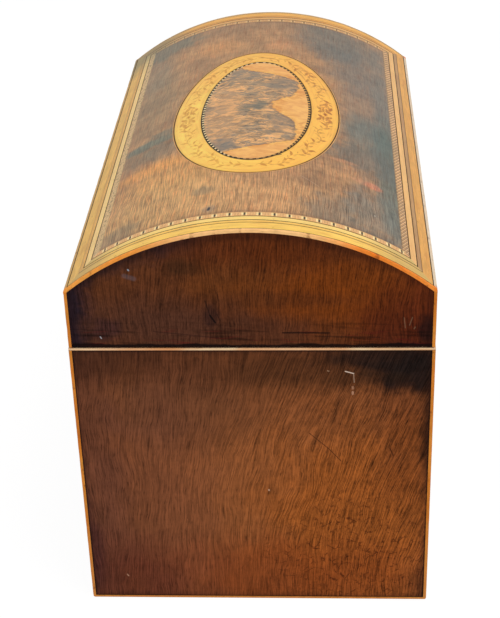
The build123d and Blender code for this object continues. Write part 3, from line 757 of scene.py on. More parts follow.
def end_wood():
    """The case's end: warm brown in the middle, redder to the left, orange and crazed at the lower right,
    and a dark stain that comes in from the upper right. The near end has a pale scratch and knocks."""
    f, x, u, v, s = end_sheet("end_wood", 0.85)
    f.colour = (124, 71, 39)
    f.patches(u, v, (
        (62, 0, 44, 38, 0.8, 150, 88, 48), (44, 46, 52, 40, 0.8, 158, 86, 33),
        (16, 6, 20, 66, 0.6, 138, 66, 28), (112, -34, 22, 36, 0.55, 98, 60, 40),
        (60, -76, 90, 15, 0.55, 92, 54, 44), (50, -44, 70, 26, 0.3, 118, 72, 56),
        (10, -60, 24, 24, 0.6, 88, 42, 32), (30, -79, 26, 6, 0.6, 60, 30, 34),
        (136, -10, 14, 86, 0.55, 76, 41, 25), (136, -70, 14, 26, 0.5, 56, 31, 22),
        (129, 26, 9, 34, 0.45, 62, 37, 19), (90, 70, 34, 14, 0.4, 104, 50, 20),
    ), soft=1.2)
    f.patches(u, v, (
        (129, 73, 12, 20, 0.95, 24, 18, 17), (135, 60, 6, 30, 0.8, 30, 21, 18),
        (125.5, 50, 3.6, 20, 0.3, 50, 32, 18), (98, 80, 30, 5, 0.75, 42, 22, 12),
        (10, 78, 16, 5, 0.5, 60, 30, 16),
    ), ragged=0.75, size=0.09, soft=0.9)
    right = v.rise(-20, 60)
    level, pore = end_level(f, u, v, s, right * 0.45 + 0.88, right * 0.9 + 0.3)
    f.dim(level)
    f.lay(pore * 0.3, 44, 20, 10)
    stir = f.noise(u * 0.2, v * 0.2, 41) * 6
    crack = f.cells((u + stir) * 0.24, (v + stir) * 0.2, 3, "DISTANCE_TO_EDGE").rise(0.07, 0)
    crazed = f.patch(u, v, (28, 46), (34, 40), 0.5, 0.07, 1)
    broken = f.noise(u * 0.3, v * 0.3, 44).rise(0.46, 0.58)
    f.lay(crack * crazed * broken * 0.8, 66, 26, 10)
    edge = (string_y - v.size()).least(u - foot_top).least(rim_bottom - u)
    grime = f.noise(u * 0.12, v * 0.12, 30)
    f.lay((edge + grime * 5).rise(6, 1.5) * 0.45, 44, 22, 16)
    f.lay(edge.rise(0.9, 0.3) * 0.7, 24, 14, 12)
    return end_done(f, x, u, v, level, pore, (
        (128.7, 41, 127.6, 44.6, 0.4, 0.9, 222, 200, 182), (127.6, 44.6, 123, 44.9, 0.28, 0.6, 190, 160, 136),
        (120.6, 44.3, 119.8, 44.3, 0.75, 0.7, 176, 128, 100),
        (118, 44.3, 117, 44.3, 0.75, 0.8, 190, 140, 110),
        (129, 33.2, 128.8, 33.8, 0.4, 0.6, 176, 140, 110), (96.2, 24.9, 88, 33.4, 0.3, 0.75, 58, 28, 14),
        (88, 33.4, 81, 39.2, 0.3, 0.75, 58, 28, 14), (102.5, 63.6, 106.5, 64.4, 0.4, 0.4, 70, 32, 14),
        (88, 61.2, 84, 62.8, 0.4, 0.7, 54, 24, 12), (14.6, -62.5, 13.8, -62, 0.5, 0.7, 196, 148, 120),
        (64.8, 6.2, 64.4, 6.3, 0.55, 0.75, 214, 170, 140), (36.5, 42, 35, 46, 0.35, 0.6, 60, 24, 10),
        (33, 33, 30.5, 36.5, 0.35, 0.6, 60, 24, 10),
    ))


def lid_end_wood():
    """The lid's end, of the same sheet: warm in the middle and redder to the right, blue-black at its left
    edge and under the arch, with dark streaks across it above the joint and a short split."""
    f, x, u, v, s = end_sheet("lid_end_wood", 0.25)
    f.colour = (92, 50, 27)
    f.patches(u, v, (
        (166, 42, 20, 48, 0.85, 122, 58, 13), (190, 10, 10, 46, 0.7, 90, 40, 13),
        (172, -8, 10, 20, 0.5, 104, 56, 22), (150, 66, 20, 20, 0.75, 76, 28, 15),
        (158, 78, 24, 10, 0.5, 84, 30, 14), (152, -44, 12, 40, 0.6, 76, 47, 37),
        (150, 6, 8, 30, 0.6, 74, 43, 30), (164.5, 8, 3.6, 34, 0.4, 66, 36, 22),
    ), ragged=0.6, soft=1.4)
    top = (v * v) * -0.0042 + 195.6 - u  # room under the arch, as a parabola
    side = 78.2 - v.size()
    stir = f.noise(u * 0.09, v * 0.06, 50, 5, 0.65)
    arch_shade = (top + stir * 18).rise(17, 8) * v.rise(-8, -40)
    f.lay(arch_shade * 0.72, 30, 25, 32)
    left = (v + stir * 16).rise(-56, -68)
    f.lay(left * 0.88, 26, 22, 34)
    f.patches(u, v, (
        (156.5, -17, 6, 3.4, 0.65, 46, 27, 24), (180, -28, 4, 7, 0.5, 50, 32, 18),
        (150, 76, 6, 4, 0.8, 30, 16, 14), (150, -62, 5, 6, 0.5, 50, 30, 36),
    ), ragged=0.8, size=0.12, soft=1)
    level, pore = end_level(f, u, v, s, 0.95, 1.1)
    across_streak = f.noise(v * 0.035, u * 0.5 + v * 0.02, 14, 4, 0.6).rise(0.5, 0.66)
    level = level * (1 - across_streak * u.rise(158, 147) * 0.5)
    f.dim(level)
    red = f.noise(v * 0.05, u * 0.6, 19).rise(0.56, 0.66) * u.rise(152, 146)
    f.lay(red * 0.5, 96, 24, 22)
    f.lay(pore * 0.3, 32, 12, 8)
    edge = side.least(top)
    f.lay(edge.rise(4, 0.5) * 0.4, 30, 12, 10)
    # Painted shadow: a near-black line along the bottom of the lid's end, for the shade in the gap between
    # lid and case.
    gap_shadow_lift = f.noise(v * 0.06, 0, 61).rise() * 1.4 + v.size().rise(40, 76) * 0.6
    f.lay((u - gap_shadow_lift).rise(142.3, 141.4) * 0.9, 14, 8, 8)
    return end_done(f, x, u, v, level, pore, (
        (164, -19, 157, -17.2, 0.4, 0.6, 24, 14, 12), (157, -17.2, 153.4, -15, 0.55, 0.9, 14, 8, 8),
        (157.7, -14.1, 154.5, -13, 0.3, 0.6, 28, 14, 12), (148.3, 14, 148.2, 34, 0.55, 0.75, 16, 9, 8),
        (146.6, 28, 146, 56, 0.45, 0.5, 22, 11, 9), (149, -42, 145.8, -14, 0.4, 0.45, 34, 16, 16),
        (155.6, 66, 150.6, 66.6, 0.34, 0.45, 140, 108, 82),
        (155.8, 69.5, 152, 68.4, 0.34, 0.45, 140, 108, 82),
        (151, 70.8, 150.2, 70.4, 0.45, 0.4, 140, 108, 82),
        (179.4, -51.2, 179, -50.9, 0.5, 0.75, 160, 170, 182),
        (176.4, -53, 175, -49, 1.6, 0.16, 120, 126, 140), (146.4, -65.4, 145.6, -65, 0.4, 0.6, 190, 190, 196),
    ))


def side_wood():
    """The front and the back: faded in the middle and darker towards the edges, with the grain along."""
    f = Finish("side_wood")
    x, y, z = f.place()
    other = y.rise(-1, 1) * 40
    s = z + (f.noise(x * 0.008, z * 0.02, other, 2) - 0.5) * 26
    warm = f.noise(x * 0.012, s * 0.05, other + 5, 4).rise(0.32, 0.68)
    f.colour = f.blend(warm, (92, 46, 26), (134, 74, 36))
    level, pore = veneer_grain(f, x, s, other, 0.9)
    f.dim(level)
    f.lay(pore * 0.35, 40, 18, 12)
    ends = (string_x - x.size()).least(z - foot_top)
    grime = f.noise(x * 0.05, z * 0.05, other + 9, 4)
    f.lay((ends + grime * 16).rise(30, 5) * 0.5, 50, 25, 18)
    # Painted shadow: a dark band either side of the gap between lid and case.
    joint = (z - joint_middle).size()
    f.lay(joint.rise(2.2, 1.5) * 0.7, 20, 11, 9)
    f.lay(ends.rise(0.9, 0.3) * 0.7, 24, 14, 12)
    return f.done(rough=0.36, height=level * 0.03 - pore * 0.02, **polish)


def inner_lid_wood():
    """The inner lids, little faded: red mahogany with its grain along the caddy."""
    f = Finish("inner_lid_wood")
    x, y, _ = f.place()
    s = y + (f.noise(x * 0.01, y * 0.02, 3, 2) - 0.5) * 18
    level, pore = veneer_grain(f, x, s, 2, 0.8)
    warm = f.noise(x * 0.02, s * 0.05, 8).rise()
    f.colour = f.blend(warm, (104, 46, 26), (142, 70, 38))
    f.dim(level)
    f.lay(pore * 0.4, 44, 18, 12)
    return f.done(rough=0.34, height=level * 0.03 - pore * 0.03, **polish)


def field_wood():
    """The field of the dome: faded fine-grained veneer, tan and grey-brown, with warm patches, slate patches
    that are partly the wood's grey and partly a painted sky reflection, and one dark spot near the seen end."""
    f = Finish("field_veneer")
    u, v = f.grain()
    s = v + (f.noise(u * 0.016, v * 0.03, 6) - 0.5) * 7
    cloud = f.noise(u * 0.05, v * 0.05, 9, 6, 0.65).rise(0.36, 0.64)
    f.colour = f.blend(cloud, (150, 112, 78), (188, 140, 94))
    # The grey and slate rows are partly the faded wood's own tone and partly a painted reflection of the sky.
    f.patches(u, v, (
        (84, 30, 34, 36, 0.4, 176, 136, 92), (88, 26, 10, 12, 0.5, 208, 146, 86),
        (86, -8, 7, 7, 0.5, 204, 142, 92), (-70, 40, 20, 26, 0.75, 212, 156, 90),
        (-104, 40, 24, 34, 0.6, 210, 164, 102), (-58, 50, 6, 20, 0.6, 226, 156, 80),
        (-108, -4, 18, 36, 0.5, 212, 160, 106), (118, 0, 8, 60, 0.55, 146, 114, 82),
        (30, 58, 46, 15, 0.55, 142, 124, 92), (104, -40, 24, 24, 0.8, 102, 102, 94),
        (66, -50, 30, 16, 0.65, 104, 104, 98), (80, 62, 30, 9, 0.5, 126, 118, 98),
        (14, -56, 50, 14, 0.6, 122, 110, 98), (-14, -55, 20, 15, 0.7, 96, 108, 102),
        (0, -66, 130, 7, 0.6, 98, 106, 102), (-56, -67, 66, 8, 0.6, 82, 98, 88),
    ), soft=1.1)
    # The grey rows here are likewise partly a painted reflection of the sky.
    f.patches(u, v, (
        (-46, -54, 16, 20, 0.7, 98, 98, 90), (-104, -56, 26, 14, 0.6, 110, 114, 106),
        (-112, -36, 14, 14, 0.6, 116, 108, 94), (-24, 58, 4.4, 15, 0.75, 96, 112, 98),
        (-16, 48, 5, 8, 0.6, 94, 106, 94), (-38, 48, 9, 10, 0.5, 114, 110, 92),
        (-36, 62, 10, 9, 0.5, 120, 110, 88), (-73.6, -57, 2.6, 4, 0.5, 214, 126, 92),
        (-73, -52, 3, 6, 0.35, 200, 138, 104), (-57, -41, 1.8, 7, 0.5, 200, 142, 100),
        (-66, -46, 5, 8, 0.4, 176, 132, 96), (84, -34, 14, 9, 0.5, 100, 98, 90),
        (117, 60, 14, 22, 0.7, 108, 110, 92), (-118, 62, 8, 12, 0.5, 120, 112, 90),
        (-99, 22, 4, 5, 0.5, 130, 118, 92), (-119, 17.8, 3, 3.4, 0.35, 120, 118, 112),
    ), ragged=0.9, size=0.13, soft=0.9)
    wide = f.noise(u * 0.035, s * 0.42, 2, 4, 0.6).rise()
    fine = f.noise(u * 0.065, s * 0.95, 3, 5, 0.8).rise(0.38, 0.62)
    mottle = f.noise(u * 0.16, v * 0.12, 21, 5, 0.65).rise(0.34, 0.66)
    pore = pores(f, u, s, 1, 5, 0.6)
    hair = f.noise(u * 0.07, s * 2.2, 13, 2, 0.6).rise(0.38, 0.62)
    near = u.rise(-20, -100) * 0.3 + v.rise(20, 50) * 0.1 + 0.24
    level = wide * 0.16 + (fine * 0.7 + hair) * near + mottle * 0.2 + 0.88 - near * 0.85 - pore * 0.2
    f.dim(level)
    warmth = f.noise(u * 0.07, s * 0.7, 31, 4, 0.7).rise(0.48, 0.66)
    f.steep(warmth * 0.45, 255, 210, 184)
    f.strokes(u, v, (
        (-118.2, 17.6, -120.2, 17.9, 1.05, 0.95, 40, 44, 50),
        (-104.4, -56.1, -103.8, -56.1, 0.4, 0.7, 214, 206, 190),
        (70, 44, 52, 50, 0.25, 0.3, 206, 170, 140), (-92, -30, -84, -22, 0.25, 0.4, 206, 176, 146),
    ))
    edge = string_x - field_start - u.size()
    f.lay(edge.rise(3, 0.2) * 0.3, 84, 62, 44)
    return f.done(height=level * 0.03 - pore * 0.015, **polish)


def banding_wood(name, tones, lines=(), force=1):
    """A narrow strip of pale wood with its grain along it. The four tones are those of the lid's back,
    far end, front and near end, and each line is a place, a half width and a tone."""
    f = Finish(name)
    u, v = f.grain()
    f.colour = f.bands((u + 500) / 4000, [(number / 4, tone) for number, tone in enumerate(tones)])
    wide = f.noise(u * 0.06, v * 0.35, 5).rise()
    fine = f.noise(u * 0.14, v / 0.5, 2, rough=0.65).rise()
    f.dim(wide * (0.2 * force) + fine * (0.2 * force) + (1 - 0.18 * force))
    tan = f.noise(u * 0.05, v * 0.3, 18, 4).rise(0.5, 0.7)
    f.steep(tan * (0.35 * force), 226, 190, 176)
    grime = f.noise(u * 0.3, v * 0.5, 8).rise(0.62, 0.74)
    f.lay(grime * 0.4, 126, 84, 40)
    aged = (u - 3000).size()
    stir = f.noise(u * 0.05, v * 0.2, 40, 4) * 30
    f.lay((aged + stir).rise(58, 92) * u.rise(2500, 2501) * 0.6, 186, 154, 96)
    for where, width, tone in lines:
        f.lay((v - where).size().rise(width, width * 0.4) * (u.rise(499, 501) * 0.55 + 0.3), *tone)
    far_corner_shade(f, 0.7)
    return f.done(rough=0.38, height=fine * 0.006, **polish)


def string_wood(name, lengthwise_pale=False):
    """Boxwood stringing, which takes its grain from its own map: orange and gold by turns, peach at the
    crown, redder towards the front and dirty at its knocks. The strings along the eaves and the top of the
    far arch string are painted pale cream, a painted reflection of their sheen at a grazing angle."""
    f = Finish(name)
    u, v = f.grain()
    x, y, z = f.place()
    slow = f.noise(u * 0.035, 0, 3).rise()
    hue = f.noise(u * 0.06, 0, 12).rise(0.4, 0.65)
    f.colour = f.blend(slow, (246, 124, 32), (255, 162, 70))
    f.lay(y.rise(-26, -70) * z.rise(168, 169) * 0.25, 246, 120, 44)
    f.lay(y.rise(20, 60) * z.rise(168, 169) * 0.5, 250, 176, 84)
    f.colour = f.blend(z.rise(169, 167.6) * 0.85, f.colour, f.blend(slow, (194, 108, 34), (222, 138, 54)))
    f.lay(hue * 0.35, 196, 144, 66)
    crown = y.size().rise(52, 18) * z.rise(176, 186)
    f.lay(crown * 0.8, 255, 208, 144)
    f.lay(z.rise(60, 4) * 0.5, 214, 144, 78)
    # Painted reflection: the eaves strings are turned pale cream for their sheen at a grazing angle.
    if lengthwise_pale:
        along_side = (140 - x.size()).rise(-0.4, 0.6)
        grazing_sheen = f.blend(y.rise(1, -1), (214, 176, 116), (232, 216, 188))
        f.colour = f.blend(along_side * 0.9, f.colour, grazing_sheen)
        far_corner_shade(f, 0.6)
    else:
        # Painted reflection: the top face of the far arch string is turned pale cream.
        f.lay(x.rise(0, 1) * z.rise(169.5, 170.5) * 0.8, 238, 220, 190)
    fine = f.noise(u * 0.3, v * 1.6, 2, rough=0.6).rise()
    f.dim(fine * 0.22 + 0.9)
    dirt = f.noise(u * 0.22, v * 0.3, 8, 4).rise(0.6, 0.72)
    f.lay(dirt * 0.6, 126, 66, 34)
    return f.done(height=fine * 0.006, **dull)


def boxwood_in_space():
    """Boxwood for the string under the joint, which takes its grain from its place. Its lower edge is
    stained by the glue line."""
    f = Finish("rim_boxwood")
    x, y, z = f.place()
    tone = f.noise(x * 0.04, y * 0.04, z * 0.4, 4).rise()
    f.colour = f.blend(tone, (226, 170, 118), (255, 224, 178))
    orange = f.noise(x * 0.03, y * 0.03, 4, 2).rise(0.45, 0.6)
    f.lay(orange * 0.4, 226, 136, 70)
    f.lay(z.rise(139.75, 139.5) * 0.7, 96, 46, 24)
    return f.done(**polish)


def ebony():
    """The dark lines, nearly black at the near end and browner on the other sides."""
    f = Finish("ebony_line")
    u, v = f.grain()
    tone = f.noise(u * 0.3, v * 2).rise(0.35, 0.7)
    f.colour = f.blend(tone, (34, 20, 6), (82, 54, 20))
    f.dim(1 - u.rise(2500, 2501) * 0.6)
    return f.done(rough=0.42, **dull)


def chequer_ends():
    """Blocks across the ends of the dome: small dark squares with a pale block each side, and tan blocks
    between them, parted by thin brown lines."""
    f = Finish("chequer_ends")
    u, v = f.grain()
    pale, tan, brown, dark = (252, 222, 158), (234, 182, 122), (208, 150, 94), (72, 58, 34)
    tones = (dark, pale, tan, brown, tan, brown, tan, pale)
    starts = (0, 0.85, 1.8, 3.05, 3.3, 4.3, 4.55, 5.75)
    pitch = 6.4
    stops = [(start / pitch, tone) for start, tone in zip(starts, tones)]
    f.colour = f.bands((u / pitch + 0.03).step("FRACT"), stops)
    border = v.rise(0.75, 0.45) + v.rise(2.9, 3.2)
    f.lay(border * 0.75, 232, 172, 108)
    near = u.rise(2000, 2001)
    f.lay((1 - near) * 0.5, 196, 142, 88)
    fine = f.noise(u * 0.8, v * 0.8, 4).rise()
    f.dim(fine * 0.24 + near * 0.06 + 0.82)
    far_corner_shade(f, 0.7)
    return f.done(rough=0.42, **polish)


def chequer_sides():
    """Slanting tan blocks along the long sides of the dome, parted by thin dark lines which lean inwards
    towards the far end on the hinges' side and towards the near end on the lock's side."""
    f = Finish("chequer_sides")
    u, v = f.grain()
    lean = u.rise(499, 501) * 4.2 - 2.1
    pitch = 3.3
    stops = ((0, (92, 58, 32)), (0.14, (208, 156, 104)), (0.48, (172, 120, 74)), (0.6, (236, 190, 136)))
    f.colour = f.bands(((u + v * lean) / pitch).step("FRACT"), stops)
    f.lay(v.rise(3, 3.4) * 0.5, 128, 96, 58)
    back = u.rise(501, 499)
    fine = f.noise(u * 0.8, v * 0.8, 6).rise()
    stain = f.noise(u * 0.03, 0, 16).rise(0.4, 0.65)
    f.lay(stain * 0.3 * (1 - back * 0.5), 124, 114, 88)
    f.lay(back * 0.4, 206, 184, 132)
    dash = f.noise(u * 0.5, v * 0.7, 26, 2).rise(0.56, 0.62)
    f.lay(dash * back * 0.7, 112, 88, 50)
    f.dim(fine * 0.3 + back * 0.2 + 0.84)
    far_corner_shade(f, 0.5)
    return f.done(rough=0.42, **polish)


def oval_outer():
    """The oval's edge: a pale line and a dark line inside it."""
    f = Finish("oval_outer_line")
    u, v = f.grain()
    fine = f.noise(u * 0.4, v * 2, 6).rise()
    f.colour = f.blend(fine, (216, 160, 98), (240, 190, 122))
    f.lay(v.rise(0.3, 0.45), 78, 48, 20)
    return f.done(**dull)


def oval_inner():
    """A dark line, then dark and pale squares: white on the hinges' side, tan on the lock's side and
    nearly lost in grime towards the seen end."""
    f = Finish("oval_chequer")
    u, v = f.grain()
    x, y, _ = f.place()
    turn = (u / 3.1 + 0.1).step("FRACT")
    front = y.rise(4, -14)
    fine = f.noise(u * 0.9, v * 0.9, 4).rise()
    light = f.blend(front, (240, 216, 166), (214, 164, 96))
    worn = f.noise(u * 0.3, 0, 2)
    lost = (x + worn * 30).rise(-44, -52)
    light = f.blend(lost * 0.7, light, (120, 84, 44))
    dark = f.blend(front * 0.4, (46, 38, 28), (84, 62, 36))
    f.colour = f.blend(turn.rise(0.5, 0.54) - turn.rise(0.96, 1), dark, light)
    f.dim(fine * 0.3 + 0.82)
    f.lay(v.rise(0.66, 0.56), 48, 32, 14)
    return f.done(**dull)


def satinwood_oval():
    """The ring of the oval: glowing satinwood, streaked along the ring, with the garland burnt in."""
    f = Finish("oval_satinwood")
    u, v = f.grain()
    x, y, _ = f.place()
    silk = f.noise(u * 0.05, v * 0.6, 3, 4, 0.7).rise(0.32, 0.68)
    cloud = f.noise(x * 0.09, y * 0.09, 1, 5, 0.65).rise(0.38, 0.62)
    f.colour = f.blend(y.rise(-36, 36), (255, 192, 78), (255, 210, 94))
    f.lay(cloud * 0.45, 246, 174, 74)
    far = x.rise(4, 50)
    streak = (f.noise(u * 0.04, v * 0.9, 23, 4, 0.7) + far * 0.06).rise(0.58, 0.7)
    f.lay(streak * (far * 0.25 + 0.5), 196, 122, 42)
    f.lay(far * 0.3, 236, 160, 66)
    f.dim(silk * 0.2 + 0.95)
    faint = f.noise(u * 0.16, v * 0.4, 2, 4).rise(0.3, 0.6, 0.3, 1)
    strength = y.rise(10, -30) * 0.12 + 0.8
    burnt = f.blend(y.rise(10, -30), (204, 124, 8), (176, 88, 4))
    f.colour = f.blend(f.mark() * faint * strength, f.colour, burnt)
    shade = v.rise(1.6, 0.2) + v.rise(12.4, 13.7)
    f.lay(shade * 0.22, 186, 120, 48)
    f.strokes(x, y, ((-65.6, -5.4, -63, -11.8, 0.9, 0.8, 66, 56, 26),))
    return f.done(rough=0.36, height=silk * 0.005 - f.mark() * 0.02, **polish)


def burr_wood():
    """The medallion: wrinkled burr in two lobes with a slate-grey heart. Pale sapwood lies past them on
    the lock's side and at both ends: its border's place across is a sum of slow steps along the caddy."""
    f = Finish("burr")
    u, v = f.grain()
    pull = f.noise(u * 0.07, v * 0.05, 3, 4, 0.6) * 16 + u
    wrinkle = f.noise(pull * 0.5, v * 0.08, 5, 4, 0.7).rise(0.36, 0.64)
    curl = f.noise(u * 0.16, v * 0.1, 4, 6, 0.7, twist=1.6).rise(0.4, 0.6)
    eyes = f.cells(u * 0.26, v * 0.14 + curl * 0.5).rise(0.12, 0.5)
    f.colour = f.blend(curl, (148, 126, 100), (228, 170, 108))
    f.lay((1 - eyes) * 0.45, 122, 110, 90)
    crease = (f.noise(pull * 0.3, v * 0.05, 12, 4) - 0.5).size().rise(0.026, 0)
    f.dim(wrinkle * 0.5 + 0.84)
    f.lay(crease * 0.65, 84, 68, 54)
    f.patches(u, v, (
        (-2, 0, 6, 3.4, 0.65, 98, 100, 88), (-6, 6, 3, 5, 0.5, 108, 104, 86),
        (-50, 17, 10, 7, 0.7, 112, 110, 104), (42, 10, 8, 8, 0.5, 122, 116, 104),
        (26, -12, 10, 8, 0.5, 124, 112, 98), (-24, -12, 10, 6, 0.5, 124, 110, 96),
        (-22, 18, 26, 9, 0.4, 224, 166, 108), (6, 16, 16, 6, 0.35, 220, 162, 106),
    ), ragged=1, size=0.25, soft=0.7)
    stir = (f.noise(u * 0.14, v * 0.14, 20, 6, 0.72) - 0.5) * 12
    wedge = u.rise(16, -1) * u.rise(-26, -3) * 12.4
    border = wedge + u.rise(30, 52) * 31 + u.rise(-42, -68) * 46 - 18.3
    gap = v - border + stir
    figure = f.noise(u * 0.2, v * 0.12, 33, 5, 0.7, twist=1).rise(0.36, 0.64)
    sap = f.blend(figure, (226, 146, 68), (255, 196, 104))
    sap = f.blend(gap.rise(-2, -9) * 0.4, sap, (252, 186, 110))
    f.lay(gap.rise(2.6, 0.4) * 0.5, 112, 86, 66)
    f.colour = f.blend(gap.rise(0.7, -0.7), f.colour, sap)
    return f.done(rough=0.38, height=curl * 0.02 + wrinkle * 0.01, **polish)


def plain_board(name, standing, light, dark, rough=0.6):
    """A plain sawn board inside the caddy. A standing one has its grain level, all round the box."""
    f = Finish(name)
    x, y, z = f.place()
    u, v = (x + y, z) if standing else (x, y)
    band = f.noise(u * 0.012, v * 0.14, 2, 4).rise(0.35, 0.65)
    pore = pores(f, u, v, 3, 6, 0.35)
    f.colour = f.blend(band, dark, light)
    f.lay(pore * 0.4, 48, 24, 14)
    return f.done(rough=rough, height=band * 0.02 - pore * 0.02, Specular_IOR_Level=0.3)


def metal(name, light, dark, rough):
    """Old handled metal: duller in patches, with fine scratches."""
    f = Finish(name)
    x, y, z = f.place()
    dulled = f.lumps(0.12, 5).rise(0.35, 0.7)
    lines = f.noise(x * 0.15, y * 4, z * 4, 2).rise(0.5, 0.7)
    f.colour = f.blend(dulled, light, dark)
    height = lines * 0.03 * 0.2 + f.lumps(0.5, 2) * 0.02
    return f.done(rough=dulled.rise(0, 1, rough, rough + 0.22), height=height, Metallic=1)


def foil():
    """Soft beaten foil: grey, with creases and small facets."""
    f = Finish("foil")
    x, y, z = f.place()
    facets = f.cells(x * 0.09, y * 0.09, z * 0.09)
    crease = f.cells(x * 0.16, y * 0.16, z * 0.16, "DISTANCE_TO_EDGE").rise(0, 0.12)
    stain = f.lumps(0.05, 4).rise(0.35, 0.7)
    f.colour = f.blend(stain, (176, 177, 178), (120, 120, 116))
    return f.done(rough=0.42, height=facets * 0.9 + crease * 0.12, Metallic=0.85)


def bone():
    """Turned bone: cream, with short brown flecks along it and dirt in the waist."""
    f = Finish("bone")
    x, y, z = f.place()
    fleck = f.noise(x * 3, y * 3, z * 0.7, 2).rise(0.62, 0.74)
    cloud = f.lumps(0.3).rise()
    f.colour = f.blend(cloud, (232, 220, 190), (246, 238, 216))
    f.lay(fleck * 0.5, 168, 136, 92)
    return f.done(rough=0.3, height=fleck * -0.01, Coat_Weight=0.2)


def wall_paper():
    """Plain old blue-grey paper, foxed."""
    f = Finish("lid_paper")
    u, v = f.grain()
    fibre = f.noise(u * 1.2, v * 1.2, 3, 4, 0.7)
    fox = f.noise(u * 0.09, v * 0.09, 8, 5).rise(0.58, 0.72)
    f.colour = f.blend(fibre.rise(), (136, 150, 154), (160, 170, 170))
    f.lay(fox * 0.5, 160, 130, 92)
    return f.done(rough=0.9, height=fibre * 0.06, Specular_IOR_Level=0.2)


def cloth():
    """Green baize: short fuzzy nap."""
    f = Finish("baize")
    nap = f.lumps(1.6, 4, 0.75)
    worn = f.lumps(0.05).rise(0.35, 0.7)
    f.colour = f.blend(nap.rise(), (34, 66, 44), (58, 98, 66))
    f.lay(worn * 0.3, 84, 100, 70)
    return f.done(rough=1, height=nap * 0.3, Sheen_Weight=0.5, Specular_IOR_Level=0.1)


def make_pieces():
    """Makes every piece, and gives each of the part's own nodes its material. The plain escutcheon keeps
    the frame's bone colour."""
    string = string_wood("boxwood")
    gold = banding_wood("gold_banding", ((240, 188, 94), (240, 176, 80), (230, 166, 80), (255, 206, 98)))
    tan_tones = ((228, 172, 88), (224, 154, 70), (188, 142, 90), (250, 200, 98))
    tulip = banding_wood("tulipwood", tan_tones, ((0.2, 0.42, (112, 74, 26)),))
    pale_tones = ((255, 214, 136), (224, 170, 100), (244, 188, 116), (255, 216, 124))
    pale = banding_wood("pale_boxwood", pale_tones, force=0.6)
    black = ebony()
    border_strip("edge_line", 0, gold_start, "ebony", black, ("ebony_lines",), step=0.3)
    border_strip("gold_banding_strip", gold_start, tulip_start, "satinwood", gold, ("gold_banding",))
    border_strip("tulipwood_strip", tulip_start, second_line, "tulipwood", tulip, ("tulipwood_banding",))
    border_strip("middle_line", second_line, box_start, "ebony", black, step=0.3)
    border_strip("boxwood_strip", box_start, third_line, "boxwood", pale, ("boxwood_line",))
    border_strip("inner_line", third_line, chequer_start, "ebony", black, step=0.3)
    chequer = (chequer_start, field_start, "chequer")
    border_strip("chequer_long_strips", *chequer, chequer_sides(), ("chequer_banding",), sides=(0, 2))
    border_strip("chequer_end_strips", *chequer, chequer_ends(), sides=(1, 3))
    dome_field(field_wood())
    oval_strip("oval_edge_line", 0, outer_line, "boxwood", oval_outer(), ("oval_outer_line",))
    ring = (outer_line, inner_line_start, "satinwood", satinwood_oval(), ("oval_band",))
    oval_strip("oval_garland_ring", *ring, around=1300, step=0.27, marked=garland)
    inner_line = (inner_line_start, medallion_start, "chequer", oval_inner(), ("oval_inner_line",))
    oval_strip("oval_chequer_ring", *inner_line)
    medallion(burr_wood())
    edge_strings(string, string_wood("eaves_boxwood", lengthwise_pale=True))
    base_string(string)
    lid_end_veneers(lid_end_wood())
    lid_lining(wall_paper())
    knobs(bone())
    brass = metal("brass", (206, 164, 92), (140, 100, 48), 0.3)
    screws(brass)
    looks = {
        "end_veneer": end_wood(),
        "side_veneer": side_wood(),
        "boxwood": boxwood_in_space(),
        "rim_wood": plain_board("rim_facing", False, (122, 66, 38), (92, 46, 26), 0.45),
        "carcass_wood": plain_board("case_boards", True, (150, 88, 52), (120, 66, 38)),
        "lining_wood": plain_board("lining_boards", True, (158, 100, 62), (130, 78, 46)),
        "inner_lid_wood": inner_lid_wood(),
        "foil": foil(),
        "bone": bpy.data.materials["bone"],
        "brass": brass,
        "pin_steel": metal("steel", (168, 166, 162), (108, 104, 98), 0.35),
        "baize": cloth(),
        "ebony": black,
        "satinwood": gold,
        "tulipwood": tulip,
        "chequer": black,
        "field_veneer": black,
        "burr": black,
        "lid_paper": bpy.data.materials["lid_paper"],
    }
    slots = {row["node"]: row["material_slot"] for row in frame["record"]["subparts"]}
    for name, thing in frame["nodes"].items():
        thing.data.materials.clear()
        thing.data.materials.append(looks[slots[name]])


# ---- Studio


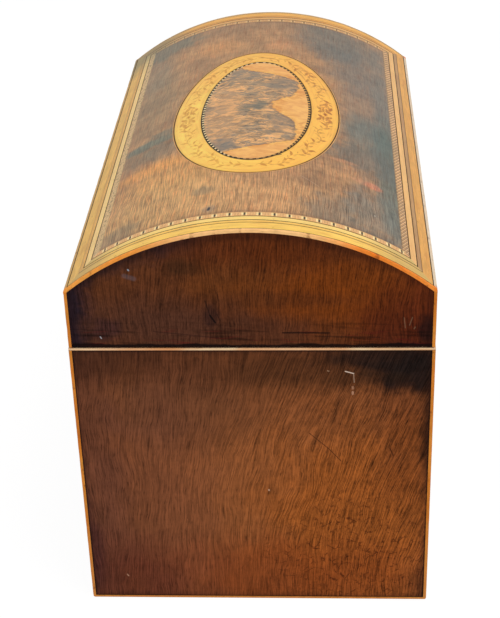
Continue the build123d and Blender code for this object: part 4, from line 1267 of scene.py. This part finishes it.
def studio():
    """White floor and surround, a broad soft lamp above and to the right of the seen end, and a weaker one
    before it on the left. The surround lights the caddy at half the strength at which it is seen, and the
    floor shows as white with a faint shadow."""
    scene = bpy.context.scene
    scene.view_settings.view_transform = "Standard"
    lighting, white_strength, floor_reach, shadow_share = 0.5, 1.1, 6, 0.16
    f = Finish("surround", "worlds")
    scene.world = f.owner
    kinds = ("Camera", "Glossy", "Transmission")
    direct, glossy, through = (f.wire("ShaderNodeLightPath", output=f"Is {kind} Ray") for kind in kinds)
    seen = direct.step("MAXIMUM", glossy).step("MAXIMUM", through)
    strength = f.wire("ShaderNodeMapRange", seen, 0, 1, lighting, 1)
    add(f.tree, "ShaderNodeOutputWorld", f.wire("ShaderNodeBackground", (1, 1, 1, 1), strength))

    f = Finish("floor_paint")
    share = f.wire("ShaderNodeLightPath", output="Is Camera Ray") * (1 - shadow_share)
    matt = f.wire("ShaderNodeBsdfDiffuse", (0.86, 0.86, 0.86, 1))
    white = f.wire("ShaderNodeEmission", Strength=white_strength)
    add(f.tree, "ShaderNodeOutputMaterial", f.wire("ShaderNodeMixShader", share, matt, white))
    mesh = bpy.data.meshes.new("floor")
    corners = [(x * floor_reach, y * floor_reach, 0) for x, y in ((-1, -1), (1, -1), (1, 1), (-1, 1))]
    mesh.from_pydata(corners, [], [(0, 1, 2, 3)])
    mesh.materials.append(f.owner)
    placed("floor", mesh)

    target = Vector((0, 0, 0.12))
    for name, place, size, strength in (
        ("overhead", (-0.35, -0.55, 1.45), 1.3, 0.46),
        ("end_fill", (-1.5, 0.5, 0.8), 1, 0.14),
    ):
        lamp = bpy.data.lights.new(name, "AREA")
        lamp.shape = "SQUARE"
        lamp.size = size
        away = Vector(place) - target
        lamp.energy = strength * math.pi**2 * away.length_squared
        turn = away.to_track_quat("Z", "Y").to_matrix().to_4x4()
        placed(name, lamp).matrix_world = Matrix.Translation(place) @ turn


def camera():
    """The photograph's view: lens, place and turn, the turn as yaw, pitch and roll."""
    yaw, pitch, roll = (math.radians(angle) for angle in (-3.3635, 29.4411, -1.8054))
    place = (-0.697129, -0.032761, 0.474003)
    right = Vector((-math.sin(yaw), -math.cos(yaw), 0))
    up = Vector((math.sin(pitch) * math.cos(yaw), -math.sin(pitch) * math.sin(yaw), math.cos(pitch)))
    level_right = right * math.cos(roll) + up * math.sin(roll)
    level_up = up * math.cos(roll) - right * math.sin(roll)
    data = bpy.data.cameras.new("camera")
    data.sensor_fit = "HORIZONTAL"
    data.sensor_width = 36
    data.lens = 107.41
    turn = Matrix((level_right, level_up, level_right.cross(level_up))).transposed().to_4x4()
    holder = placed("camera", data)
    holder.matrix_world = Matrix.Translation(place) @ turn
    bpy.context.scene.camera = holder


studio()
camera()
make_pieces()
